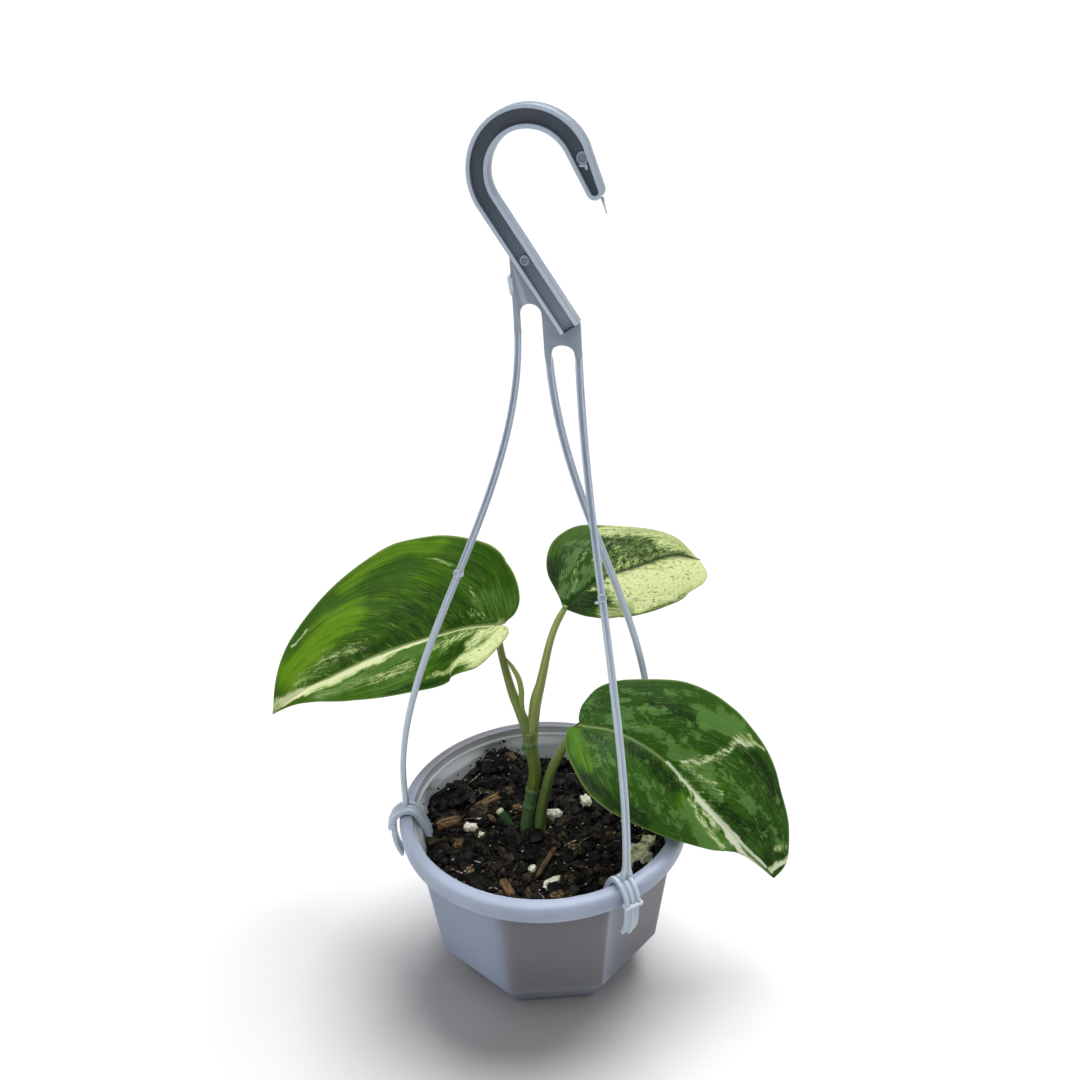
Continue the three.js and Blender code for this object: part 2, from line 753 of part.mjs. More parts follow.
function lump({ at, size, turn }, seed, grown) {
  const random = seeded(seed)
  const loose = new THREE.IcosahedronGeometry(1, 1)
  loose.deleteAttribute('normal')
  loose.deleteAttribute('uv')
  const ball = mergeVertices(loose, 1e-4)
  const position = ball.attributes.position
  const point = vector()
  for (let n = 0; n < position.count; n++) {
    point.fromBufferAttribute(position, n).multiplyScalar(0.84 + 0.3 * random())
    position.setXYZ(n, point.x, point.y, point.z)
  }
  ball.scale(...size.map((half) => half + grown))
  ball.rotateZ(turn * degree)
  ball.translate(...at)
  return ball
}

function lowerStalk(grown) {
  return rod(stalkCurves.lower, evenly(14), 10, (t) => 2.7 - 0.9 * smoothStep(t * 1.1) + grown)
}

const lumpNames = Object.keys(lumps)
const cuts = [
  rod(stemCurve, evenly(12), 12, () => 3.4),
  lowerStalk(fitGap + 0.1),
  buildStub(fitGap + 0.1),
  ...clipLegs(),
  ...lumpNames.map((name, n) => lump(lumps[name], n + 20, fitGap + 0.2)),
]

add('pot', toGeometry(buildPot()), plastic)
add('hanger', toGeometry(buildHanger()), plastic)
add('soil', toGeometry(buildSoil(cuts)), earth)
add('stem', toGeometry(buildStem()), stemGreen)
add('petiole_lower', lowerStalk(0), stemGreen)
add('cut_stub', buildStub(0), stemGreen)
for (const [name, leaf] of Object.entries(leaves)) {
  add(`leaf_${name}`, thicken(bladeSurface(leaf), bladeThickness), leafGreen)
}
lumpNames.forEach((name, n) => add(name, lump(lumps[name], n + 20, 0), lumps[name].surface))

export default group
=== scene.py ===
import math
import random
from functools import partial

import bmesh
import bpy
import numpy as np
from mathutils import Matrix, Vector, noise


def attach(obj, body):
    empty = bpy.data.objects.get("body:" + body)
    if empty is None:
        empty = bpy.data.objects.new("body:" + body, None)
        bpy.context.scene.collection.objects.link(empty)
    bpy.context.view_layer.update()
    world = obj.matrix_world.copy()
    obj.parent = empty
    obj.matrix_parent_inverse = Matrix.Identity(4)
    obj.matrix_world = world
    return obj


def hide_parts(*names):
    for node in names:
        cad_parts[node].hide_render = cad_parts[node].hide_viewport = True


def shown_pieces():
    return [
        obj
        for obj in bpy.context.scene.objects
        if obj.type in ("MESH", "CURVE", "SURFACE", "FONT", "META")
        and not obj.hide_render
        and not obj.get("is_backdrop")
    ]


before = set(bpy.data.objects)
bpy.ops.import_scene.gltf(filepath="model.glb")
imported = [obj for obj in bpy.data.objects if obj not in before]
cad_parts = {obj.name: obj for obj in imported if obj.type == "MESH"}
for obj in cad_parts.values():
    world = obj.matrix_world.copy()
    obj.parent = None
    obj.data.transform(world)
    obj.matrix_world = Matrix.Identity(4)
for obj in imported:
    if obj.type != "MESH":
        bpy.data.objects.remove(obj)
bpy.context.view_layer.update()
scene = bpy.context.scene
scene.view_settings.view_transform = "Standard"
mm = 0.001
fullTurn = 2 * math.pi

# camera, first, so that everything else can be judged through it; mm and directions
view = {
    "place": (-14.9, -359.2, 366.2),
    "forward": (0.0431, 0.9016, -0.4305),
    "up": (0.0544, 0.4282, 0.9021),
    "lens": 36.0,
    "sensor": 36.0,
    "clip": (0.01, 20),   # metres
}


def makeCamera():
    data = bpy.data.cameras.new("camera")
    data.lens, data.sensor_width = view["lens"], view["sensor"]
    data.clip_start, data.clip_end = view["clip"]
    camera = bpy.data.objects.new("camera", data)
    scene.collection.objects.link(camera)
    forward, up = Vector(view["forward"]).normalized(), Vector(view["up"])
    up = (up - forward * up.dot(forward)).normalized()
    turn = Matrix((forward.cross(up), up, -forward)).transposed()
    camera.matrix_world = Matrix.Translation(Vector(view["place"]) * mm) @ turn.to_4x4()
    scene.camera = camera


makeCamera()
print("camera set")


# materials
def linear(code):
    # sRGB hex to the linear colour that the shaders use
    values = [int(code[i:i + 2], 16) / 255 for i in (1, 3, 5)]
    return tuple(v / 12.92 if v <= 0.04045 else ((v + 0.055) / 1.055) ** 2.4 for v in values) + (1.0,)


def setSockets(tree, node, links):
    # links gives sockets by name or number, or a list in their order
    for socket, value in (links if isinstance(links, dict) else dict(enumerate(links))).items():
        if isinstance(value, bpy.types.NodeSocket):
            tree.links.new(value, node.inputs[socket])
        else:
            node.inputs[socket].default_value = linear(value) if isinstance(value, str) else value


def addNode(tree, kind, links=(), stops=(), output=0, **settings):
    # adds one node and gives its output; settings are its own properties, stops a ramp's colours
    node = tree.nodes.new("ShaderNode" + kind)
    if kind == "Mix":
        # only colours are mixed here, and these are their sockets
        node.data_type = "RGBA"
        links, output = dict(zip((0, 6, 7), links)), 2
    for key, value in settings.items():
        setattr(node, key, value)
    if stops:
        ramp = node.color_ramp
        while len(ramp.elements) < len(stops):
            ramp.elements.new(0.5)
        for element, (place, colour) in zip(ramp.elements, stops):
            element.position, element.color = place, linear(colour)
    setSockets(tree, node, links)
    return node.outputs[output]


def newMaterial(name):
    material = bpy.data.materials.new(name)
    material.use_nodes = True
    tree = material.node_tree
    return material, partial(addNode, tree), partial(setSockets, tree, tree.nodes["Principled BSDF"])


# meshes, in mm until makePiece
def joinParts(parts):
    points, faces, start = [], [], 0
    for somePoints, someFaces in parts:
        points.append(np.asarray(somePoints, float))
        faces += [[i + start for i in face] for face in someFaces]
        start += len(somePoints)
    return np.vstack(points), faces


def makePiece(name, points, faces, material, fields=None, smoothAngle=None, outward=True, weld=0.0):
    # fields are attributes for the material; weld merges points that are closer than this
    mesh = bpy.data.meshes.new(name)
    mesh.from_pydata((np.asarray(points, float) * mm).tolist(), [], faces)
    for key, values in (fields or {}).items():
        values = np.asarray(values, np.float32)
        kind, field = ("FLOAT", "value") if values.ndim == 1 else ("FLOAT_VECTOR", "vector")
        mesh.attributes.new(key, kind, "POINT").data.foreach_set(field, values.ravel())
    if outward:
        work = bmesh.new()
        work.from_mesh(mesh)
        if weld:
            bmesh.ops.remove_doubles(work, verts=work.verts, dist=weld * mm)
        bmesh.ops.recalc_face_normals(work, faces=work.faces)
        work.to_mesh(mesh)
        work.free()
    mesh.shade_smooth()
    if smoothAngle:
        mesh.set_sharp_from_angle(angle=math.radians(smoothAngle))
    mesh.materials.append(material)
    piece = bpy.data.objects.new(name, mesh)
    scene.collection.objects.link(piece)
    return piece


def settle(piece, node):
    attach(piece, "root")
    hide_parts(node)


def modify(piece, kind, **settings):
    # adds a modifier and turns the result into the mesh of the piece
    modifier = piece.modifiers.new(kind, kind)
    for key, value in settings.items():
        setattr(modifier, key, value)
    mesh = bpy.data.meshes.new_from_object(piece.evaluated_get(bpy.context.evaluated_depsgraph_get()))
    piece.modifiers.clear()
    piece.data = mesh


def cut(piece, tool, operation="DIFFERENCE"):
    modify(piece, "BOOLEAN", object=tool, operation=operation, solver="EXACT")
    bpy.data.objects.remove(tool)


def soften(piece, width, angle=35):
    angle = math.radians(angle)
    modify(piece, "BEVEL", width=width * mm, segments=2, limit_method="ANGLE", angle_limit=angle)
    piece.data.shade_smooth()
    piece.data.set_sharp_from_angle(angle=angle)


def smoothStep(value):
    t = np.clip(value, 0, 1)
    return t * t * (3 - 2 * t)


def blend(a, b, t):
    return a + (b - a) * t


def unit(vectors):
    return vectors / np.linalg.norm(vectors, axis=-1, keepdims=True)


def spinBy(angle):
    # turns rows of points about the vertical
    return np.array([[math.cos(angle), math.sin(angle), 0], [-math.sin(angle), math.cos(angle), 0], [0, 0, 1]])


def bumpy(points, size, depth=3, seed=0.0):
    # fractal noise, about -1 to 1, with lumps of the given size in mm
    shift = Vector((seed * 13.7, seed * 7.1, seed * 3.3))
    scale = 1 / size
    return np.array([noise.fractal(Vector(point) * scale + shift, 1.0, 2.0, depth)
                     for point in np.asarray(points).tolist()])


def cubic(b, c, first, second, t):
    # from b to c, with these slopes at the ends
    bent = (2 * b - 2 * c + first + second) * t ** 3
    return b + first * t + (3 * c - 3 * b - 2 * first - second) * t * t + bent


def curveThrough(points, per=40):
    # a smooth line through the points, and its length so far
    points = np.array(points, float)
    padded = np.vstack([2 * points[0] - points[1], points, 2 * points[-1] - points[-2]])
    line = []
    for i in range(len(points) - 1):
        a, b, c, d = padded[i:i + 4]
        ab, bc, cd = [np.sum((q - p) ** 2) ** 0.25 for p, q in ((a, b), (b, c), (c, d))]
        first = ((b - a) / ab - (c - a) / (ab + bc) + (c - b) / bc) * bc
        second = ((c - b) / bc - (d - b) / (bc + cd) + (d - c) / cd) * bc
        line += [cubic(b, c, first, second, t) for t in np.linspace(0, 1, per, endpoint=False)]
    line = np.array([*line, points[-1]])
    steps = np.linalg.norm(np.diff(line, axis=0), axis=1)
    return line, np.concatenate([[0], np.cumsum(steps)])


def alongCurve(curve, distances, reach=0.4):
    # points and directions at distances along a curve
    line, lengths = curve
    distances = np.asarray(distances, float)
    inside = np.clip(distances, 0, lengths[-1])
    place, ahead, behind = [
        np.stack([np.interp(np.clip(inside + shift, 0, lengths[-1]), lengths, line[:, k]) for k in range(3)], -1)
        for shift in (0, reach, -reach)]
    slope = unit(ahead - behind)
    return place + slope * (distances - inside)[..., None], slope


def skin(rings):
    # a closed body over rings of points
    rows, count = rings.shape[:2]
    points = np.vstack([rings.reshape(-1, 3), rings[0].mean(0), rings[-1].mean(0)])
    first, last = rows * count, (rows - 1) * count
    turns = [(i, (i + 1) % count) for i in range(count)]
    faces = [[row + i, row + j, row + j + count, row + i + count]
             for row in range(0, last, count) for i, j in turns]
    for i, j in turns:
        faces += [[first, j, i], [first + 1, last + i, last + j]]
    return points, faces


def sweep(centres, sections, across, slopes=None):
    # skins a section (a ring of x, y) along a line; across is where the section's x points
    centres = np.asarray(centres)
    slopes = unit(np.gradient(centres, axis=0)) if slopes is None else slopes
    across = np.broadcast_to(np.asarray(across, float), centres.shape)
    sideways = unit(across - slopes * np.sum(across * slopes, -1, keepdims=True))
    upward = np.cross(slopes, sideways)
    sections = np.asarray(sections, float)
    if sections.ndim == 2:
        sections = np.broadcast_to(sections, (len(centres),) + sections.shape)
    return skin(centres[:, None] + sideways[:, None] * sections[..., :1] + upward[:, None] * sections[..., 1:])


def roundSection(radii, sides, flat=1.0):
    angles = np.linspace(0, fullTurn, sides, endpoint=False)
    return np.asarray(radii)[:, None, None] * np.stack([np.cos(angles), flat * np.sin(angles)], -1)


def lobedBall(size, turn, place, seed, level, roughness, grain, squareness=0.0):
    # a lumpy ball, for grains, stones and bark
    work = bmesh.new()
    bmesh.ops.create_icosphere(work, subdivisions=level, radius=1)
    points = np.array([vertex.co[:] for vertex in work.verts])
    faces = [[vertex.index for vertex in face.verts] for face in work.faces]
    work.free()
    points = points * blend(1, 0.9 / np.abs(points).max(1, keepdims=True), squareness)
    points = points * (1 + roughness * bumpy(points, grain, 4, seed))[:, None] * np.asarray(size)
    return points @ spinBy(math.radians(turn)) + np.asarray(place), faces, points


# plastic: polypropylene, injection moulded; a soft satin with a faint flow mottle
# each plastic: body and shade are its own mottled tone, the third colour is a painted highlight on rounded edges, pale
# a painted light, deep a painted shade, dirt real soil
plastics = {
    "Pot": {"body": "#95A1B8", "shade": "#8793AA", "paintedEdgeHighlight": "#A9B5CA", "pale": "#C6CACE", "deep": "#6D6C73",
            "dirt": "#1D150E"},
    "Hanger": {"body": "#9AA8BA", "shade": "#8C9AAC", "paintedEdgeHighlight": "#CBD6E2", "pale": "#B5C2CF", "deep": "#1D2B3B"},
}


def mouldedPolypropylene(use):
    colours = plastics[use]
    material, add, finish = newMaterial("mouldedPolypropylene" + use)
    place = add("TexCoord", output="Object")
    flow = add("TexNoise", {"Vector": place, "Scale": 45.0, "Detail": 3.0, "Roughness": 0.5})
    speck = add("TexNoise", {"Vector": place, "Scale": 900.0, "Detail": 2.0})
    colour = add("ValToRGB", [flow], stops=[(0.35, colours["shade"]), (0.7, colours["body"])])
    # painted light and shade: rounded edges are painted lighter, a painted highlight; the pale layer is
    # painted light, paler where parts are lit; the deep layer is painted shade, greyer where shade falls
    edge = add("NewGeometry", output="Pointiness")
    layers = {"paintedEdgeHighlight": add("MapRange", [edge, 0.515, 0.58, 0.0, 0.7])}
    layers.update({key: add("Attribute", attribute_name=source, output="Fac")
                   for key, source in (("pale", "paintedLight"), ("deep", "deep"))})
    if "dirt" in colours:
        # soil that splashed on the inner wall above the soil line, crumbs about 0.5 to 2 mm
        near = add("Attribute", attribute_name="splash", output="Fac")
        grit = add("TexNoise", {"Vector": place, "Scale": 420.0, "Detail": 5.0, "Roughness": 0.7})
        layers["dirt"] = add("MapRange", [add("Math", [grit, near], operation="ADD"), 0.98, 1.1])
    for key, share in layers.items():
        colour = add("Mix", [share, colour, colours[key]])
    # moulded skin, grain 0.6 mm, drawn a little coarse so that it shows
    relief = add("Bump", {"Height": speck, "Strength": 0.06, "Distance": 0.0003})
    finish({"Base Color": colour, "Roughness": add("MapRange", [speck, 0.3, 0.7, 0.38, 0.5]), "Normal": relief,
            "IOR": 1.49, "Subsurface Weight": 0.3, "Subsurface Radius": (1.0, 1.0, 1.0),
            "Subsurface Scale": 0.003})
    return material


potPlastic, hangerPlastic = [mouldedPolypropylene(use) for use in plastics]

# pot
pot = {
    "height": 73.2,
    "rimRadius": 60.0,
    "rimInner": 54.5,
    "lipBottom": 65.9,
    "neckRadius": 55.4,
    "shoulder": 15.0,
    "shoulderRadius": 48.6,
    "baseRadius": 38.6,
    "wall": 1.0,
    "edgeRounding": 1.6,
    "stepsPerFacet": 26,
    # heights of the rings up the outer wall, closest at the shoulder
    "outside": [0.8, 4, 8, 12, 14.3, 14.8, 15.1, 15.5, 16.4, *np.linspace(19, 65.9, 24)],
    # the lip's section: a height and a radius, then (up, out) steps from them, skirt to inner step
    "lip": (
        ("lipBottom", "neckRadius", ((3.6, 0.6), (4.2, 1.2))),
        ("lipBottom", "rimRadius", ((4.2, -2), (3.8, -1.75), (0.3, -1.75), (0, -1.4), (-0.1, -0.95), (0.1, -0.5),
                                    (0.5, -0.4), (3, -0.2))),
        ("height", "rimRadius", ((-3, 0), (-2.1, -0.12), (-1.3, -0.45), (-0.6, -1), (-0.15, -1.9), (0, -2.8))),
        ("height", "rimInner", ((-0.02, 1.2), (-0.1, 0.6), (-0.45, 0.1), (-1, -0.02), (-2.7, -0.2), (-3.2, -0.4),
                                (-3.4, -0.8), (-3.7, -1.05), (-4.6, -1.12))),
    ),
    "inside": [*np.linspace(66.6, 40, 16), 20, 15, 8, 2.6, 2],
    "outerRings": 20,   # so many rings past the outer wall still count as the outer side
    "drains": {"count": 8, "circle": 25.0, "radius": 2.6},
    "mouldLine": {"angles": (-138, -74), "inset": 0.75, "drop": 0.12},
    "smoothAngle": 50,
}
facetHalf = math.pi / 8


def potRing(z, radius, share):
    # round at share 0, eight-sided with softened edges at share 1
    steps, r = pot["stepsPerFacet"], pot["edgeRounding"]
    numbers = np.arange(8 * steps)
    angles = -math.pi / 2 - facetHalf + numbers / steps * 2 * facetHalf
    fromMiddle = np.abs((numbers % steps) / steps * 2 * facetHalf - facetHalf)
    fromCorner = facetHalf - fromMiddle
    flat = radius * math.cos(facetHalf)
    centre = (flat - r) / math.cos(facetHalf)
    arc = centre * np.cos(fromCorner) + np.sqrt(np.maximum(r * r - (centre * np.sin(fromCorner)) ** 2, 0))
    onArc = flat * np.tan(fromMiddle) > (flat - r) * math.tan(facetHalf)
    out = blend(radius, np.where(onArc, arc, flat / np.cos(fromMiddle)), share)
    return np.stack([out * np.cos(angles), out * np.sin(angles), np.full_like(out, z)], -1)


def potOutside(z):
    # radius at a height, and how eight-sided the pot is there
    if z < pot["shoulder"]:
        return blend(pot["baseRadius"], pot["shoulderRadius"], z / pot["shoulder"]), 1
    t = (z - pot["shoulder"]) / (pot["lipBottom"] - pot["shoulder"])
    return blend(pot["shoulderRadius"], pot["neckRadius"], t), 1 - 0.12 * float(smoothStep((t - 0.68) / 0.32))


def facetReach(angle):
    # a facet's distance at this angle, as a share of the distance of its corners
    return math.cos(facetHalf) / math.cos((angle + math.pi / 2 + facetHalf) % (2 * facetHalf) - facetHalf)


def wallRing(z, gap):
    radius, share = potOutside(z)
    return potRing(z, radius - gap, share)


def potFields(points, inside):
    # which places are painted paler, a painted light, which are splashed with soil, and which are painted darker, a
    # painted shade; facing is in degrees from +X
    low, z = pot["lipBottom"], points[:, 2]
    facing = np.degrees(np.arctan2(points[:, 1], points[:, 0]))
    lip = (z > low - 0.3) & ~inside
    body = ~lip & ~inside
    # splashes fade a few mm above the soil, and reach higher at the heap at the back left
    heapSide = 0.5 + 0.5 * np.cos(np.radians(facing - 130))
    splash = 0.5 * np.exp(-np.clip(z - 59, 0, None) / (2.5 + 5.5 * heapSide))
    splash[~inside | (np.hypot(points[:, 0], points[:, 1]) < 30)] = 0
    behind = smoothStep((facing - 15) / 30) * smoothStep((175 - facing) / 30)
    # the right and front facets are painted darker, a painted shade; the right one gets a painted highlight along its
    # edge
    paintedFacetShade = smoothStep((facing + 118) / 11) * smoothStep((10 - facing) / 30)
    paintedCornerHighlight = np.exp(-np.clip(facing + 66, 0, None) / 7) * (facing > -67)
    # the bottom chamfer is painted paler, a painted highlight
    foot = 0.45 * smoothStep((17 - z) / 3)
    # painted light: the inside wall, the lip except at the back, and on the right and front facets the corner and
    # chamfer are painted paler
    paintedLight = np.select([inside, lip, body], [0.9, 0.12 * (1 - behind), 0.25 * paintedFacetShade * np.maximum(paintedCornerHighlight, foot)])
    # painted shade: the lip's top at the back, and the right and front facets, are painted darker
    deep = np.select([lip, body], [0.9 * behind * smoothStep((z - low - 3) / 2),
                                   paintedFacetShade * (1.0 - 0.8 * paintedCornerHighlight - foot)])
    return {"splash": splash, "paintedLight": paintedLight, "deep": deep}


def mouldFlash():
    # a thin ragged line of plastic where the mould halves met, under the lip at the front left
    line = pot["mouldLine"]
    turns = np.radians(np.linspace(*line["angles"], 130))
    ragged = 0.14 + 0.2 * np.clip(bumpy(np.stack([turns * 60, turns * 0, turns * 0], -1), 1.6, 4, 3), 0, 1)
    radius, z = pot["rimRadius"] - line["inset"], pot["lipBottom"] - line["drop"]
    seam = np.stack([radius * np.cos(turns), radius * np.sin(turns), np.full_like(turns, z)], -1)
    return sweep(seam, roundSection(ragged, 6), (0, 0, 1))


def buildPot():
    base = pot["baseRadius"]
    rings = [potRing(0, base - 1.2, 1), potRing(0.15, base - 0.6, 1)]
    rings += [wallRing(z, 0) for z in pot["outside"]]
    for level, radius, steps in pot["lip"]:
        rings += [potRing(pot[level] + up, pot[radius] + out, 0) for up, out in steps]
    rings += [wallRing(z, pot["wall"]) for z in pot["inside"]]
    points, faces = skin(np.array(rings))
    inside = (np.arange(len(points)) // len(rings[0])) > len(pot["outside"]) + pot["outerRings"]
    fields = potFields(points, inside)
    flash = mouldFlash()
    points, faces = joinParts([(points, faces), flash])
    # the mould flash is painted pale, a painted light through thin plastic
    for key, value in (("splash", 0), ("paintedLight", 0.9), ("deep", 0)):
        fields[key] = np.append(fields[key], np.full(len(flash[0]), value))
    piece = makePiece("pot_moulded", points, faces, potPlastic, fields, pot["smoothAngle"])
    drains, holes = pot["drains"], []
    for angle in np.arange(drains["count"]) / drains["count"] * fullTurn:
        centre = np.array([math.cos(angle), math.sin(angle), 0]) * drains["circle"]
        section = roundSection([drains["radius"]] * 2, 28)
        holes.append(sweep([centre + (0, 0, -3), centre + (0, 0, 4)], section, (1, 0, 0)))
    cut(piece, makePiece("drill", *joinParts(holes), potPlastic))
    piece.data.set_sharp_from_angle(angle=math.radians(pot["smoothAngle"]))
    settle(piece, "pot")


buildPot()
print("pot built")

# hanger: a flat hook and web drawn in their own plane, three strands, three clips
hanger = {
    "turn": -19.0,
    "lean": 5.0,
    "origin": (7, -7, 270),
    "depth": 5.0,
    "web": 1.5,
    "flange": 1.35,
    # in the hook's own plane: its bend, its straight leg, and the centre and radius of its tip
    "centre": (-3.6, 54.8),
    "innerRadius": 13.4,
    "outerRadius": 20.6,
    "leg": (0.53, -0.848),
    "legLength": 47.5,
    "tip": ((17, 49.6), 2.6),
    "rounding": 0.28,
    "strandTop": 273.5,
    "strandStraight": 85.5,
    "strandThickness": 1.15,
    "clipRadius": 57.0,
    "clipWidth": 6.2,
    # each strand: its root in the hook's plane, the angle it comes down at, its widths
    "strands": {
        "left": ((-11.25, 4.5), 178.5, (2.3, 2.3)),
        "back": ((-1.05, -5.5), 31.2, (2.7, 2.3)),
        "front": ((9.5, -5.5), -60.4, (2.6, 2.7)),
    },
    "clipAngles": {"left": 180.4, "back": 31.2, "front": -62.0},
    # the strand's section in shares of half its width and of its thickness: a rounded rib, mirrored to make
    # two with a groove between, and soft corners on the inner side
    "strandRib": [(1, -0.3), (0.98, 0.4), (0.86, 0.8), (0.66, 1), (0.44, 0.9), (0.3, 0.5), (0.14, 0.3)],
    "strandBack": [(-0.96, -0.75), (-0.75, -1), (0, -1), (0.75, -1), (0.96, -0.75)],
    # the clip's arch over the rim and its tongue outside: a line (distance out, height), a section (share of
    # half the width, mm), how finely it is drawn, and which way round; then the bar across
    "clipBands": (
        ([(63.2, 68.2), (62.8, 70.2), (61.6, 72.8), (59.4, 74.9), (56.8, 75.7), (54.2, 75), (52.2, 72.6),
          (50.6, 69.2), (49, 65), (47.9, 59)],
         [(-1, 1.1), (1, 1.1), (1, -1.2), (0.62, -1.2), (0.5, 0.1), (0.3, 0.1), (0.18, -1), (-0.18, -1),
          (-0.3, 0.1), (-0.5, 0.1), (-0.62, -1.2), (-1, -1.2)], 64, 1),
        ([(62.2, 68.4), (62.4, 62), (61.7, 57.4), (60.1, 53.2)],
         [(-1, 0.65), (1, 0.65), (1, -0.65), (0.3, -0.65), (0.22, -1.5), (-0.22, -1.5), (-0.3, -0.65),
          (-1, -0.65)], 26, -1),
    ),
    "clipBar": {"half": (1.5, 3.8, 0.85), "tilt": 0.2, "place": (63.2, 0, 68.6)},
    # round marks of ejector pins: on strands at a share of the length, and on the hook
    "pins": {"radius": 1.55, "left": 0.463, "front": 0.43},
    "hookPins": ((13.5, 59.5, 1.9), (-6.8, 27.7, 1.6)),
    # torn scraps at the gate and beside the web (half sizes, place in the hook's plane), a thread at the tip
    "scraps": (((1.2, 3.6, 0.9), (-12.1, 19, -2.2)), ((1.5, 0.5, 0.5), (13.5, 57.4, -1.2)),
               ((0.5, 1.1, 0.6), (14.6, 57.0, -1.0))),
    "pinScrap": ((1.3, 0.6, 0.6), (-1.5, -0.9, -1.3)),
    "thread": ((19.0, 47.6, -2.2), (19.5, 45.4, -2.2), (20.4, 42.6, -2.2)),
}
hookMatrix = np.array(
    Matrix.Translation(hanger["origin"])
    @ Matrix.Rotation(math.radians(hanger["turn"]), 4, "Z")
    @ Matrix.Rotation(math.radians(90 + hanger["lean"]), 4, "X")
)


def toHook(points):
    return np.asarray(points, float) @ hookMatrix[:3, :3].T + hookMatrix[:3, 3]


def arcPoints(centre, radius, start, end, count):
    rx, ry = radius if isinstance(radius, tuple) else (radius, radius)
    return [(centre[0] + rx * math.cos(a), centre[1] + ry * math.sin(a))
            for a in np.radians(np.linspace(start, end, count))]


def barOutline(inset, tail):
    inner = arcPoints(hanger["centre"], hanger["innerRadius"] + inset, 25, 213, 60)
    back = arcPoints(hanger["centre"], hanger["outerRadius"] - inset, 213, 25, 72)
    leg = np.array(hanger["leg"]) * (hanger["legLength"] + tail)
    centre, radius = hanger["tip"]
    tip = arcPoints(centre, radius - inset, 20, -151, 16)
    return [*inner, tuple(inner[-1] + leg), tuple(back[0] + leg), *back, *tip]


def webOutline():
    # two arches between the roots of the strands
    outline = [(-12.3, 29), (-12.2, 9), (-12.4, 2), (-10.1, 2), (-10.05, 9.2)]
    outline += arcPoints((-6.25, 9.2), 3.8, 180, 0, 20)[1:]
    outline += [(-2.3, 2), (-2.2, -5), (-1.5, -8), (-0.6, -8), (0.35, -3.6)]
    outline += arcPoints((4.25, -3.6), (3.9, 2.6), 180, 0, 20)[1:]
    return outline + [(9.0, -8), (10.0, -8), (10.8, -5), (10.6, 6.8), (-6, 32)]


def plate(name, outline, low, high):
    count = len(outline)
    points = [(x, y, z) for z in (low, high) for x, y in outline]
    faces = [list(range(count))[::-1], list(range(count, 2 * count))]
    faces += [[i, (i + 1) % count, (i + 1) % count + count, i + count] for i in range(count)]
    return makePiece(name, toHook(points), faces, hangerPlastic)


def buildHook():
    depth, flange, tail = hanger["depth"], hanger["flange"], 6
    webFront = -(depth - hanger["web"]) / 2
    webBack = webFront - hanger["web"]
    hook = plate("hanger_moulded", barOutline(0, 0), -depth, 0)
    cut(hook, plate("channelFront", barOutline(flange, tail), webFront, 1))
    cut(hook, plate("channelBack", barOutline(flange, tail), -depth - 1, webBack))
    cut(hook, plate("web", webOutline(), webBack + 0.01, webFront - 0.01), "UNION")
    soften(hook, hanger["rounding"])
    # painted shade: darker deep in the channel, most of all round the bend; the sides are painted a little darker than
    # the rims
    flat = np.array([vertex.co[:] for vertex in hook.data.vertices]) / mm
    local = (flat - hookMatrix[:3, 3]) @ hookMatrix[:3, :3]
    fromFace = np.minimum(-local[:, 2], depth + local[:, 2])
    high = smoothStep((local[:, 1] - 26) / 14)
    values = np.maximum(np.clip(fromFace / -webFront, 0, 1) * (0.38 + 0.54 * high), 0.3 * (fromFace > 0.2))
    hook.data.attributes.new("deep", "FLOAT", "POINT").data.foreach_set("value", values.astype(np.float32))
    return hook


def strand(side):
    root, angle, (top, bottom) = hanger["strands"][side]
    start = toHook([*root, -hanger["depth"] / 2])
    foot = hanger["clipRadius"] * np.array([math.cos(math.radians(angle)), math.sin(math.radians(angle))])
    z = np.linspace(start[2], pot["height"] + 3, 150)
    share = smoothStep((hanger["strandTop"] - z) / (hanger["strandTop"] - hanger["strandStraight"]))
    path = np.stack([blend(start[0], foot[0], share), blend(start[1], foot[1], share), z], -1)
    lengths = np.concatenate([[0], np.cumsum(np.linalg.norm(np.diff(path, axis=0), axis=1))])
    t = lengths / lengths[-1]
    # it leaves flat in the hook's plane and turns to lie flat against the rim, the shorter way round
    last = (angle + 90 - hanger["turn"] + 90) % 180 - 90 + hanger["turn"]
    turns = np.radians(blend(hanger["turn"], last, smoothStep(t)))
    across = np.stack([np.cos(turns), np.sin(turns), np.zeros_like(turns)], -1)
    # nearly twice as wide at the foot, where it runs into the clip
    width = blend(top, bottom, t) * (1 + 0.9 * smoothStep((t - 0.965) / 0.035))
    rib = hanger["strandRib"]
    shape = np.array(rib + [(-x, y) for x, y in rib[::-1]] + hanger["strandBack"])
    thickness = blend(hanger["web"] / 2, hanger["strandThickness"], smoothStep(t / 0.12))
    sections = np.stack([shape * (w / 2, d) for w, d in zip(width, thickness)])
    return sweep(path, sections, across), path, across, t


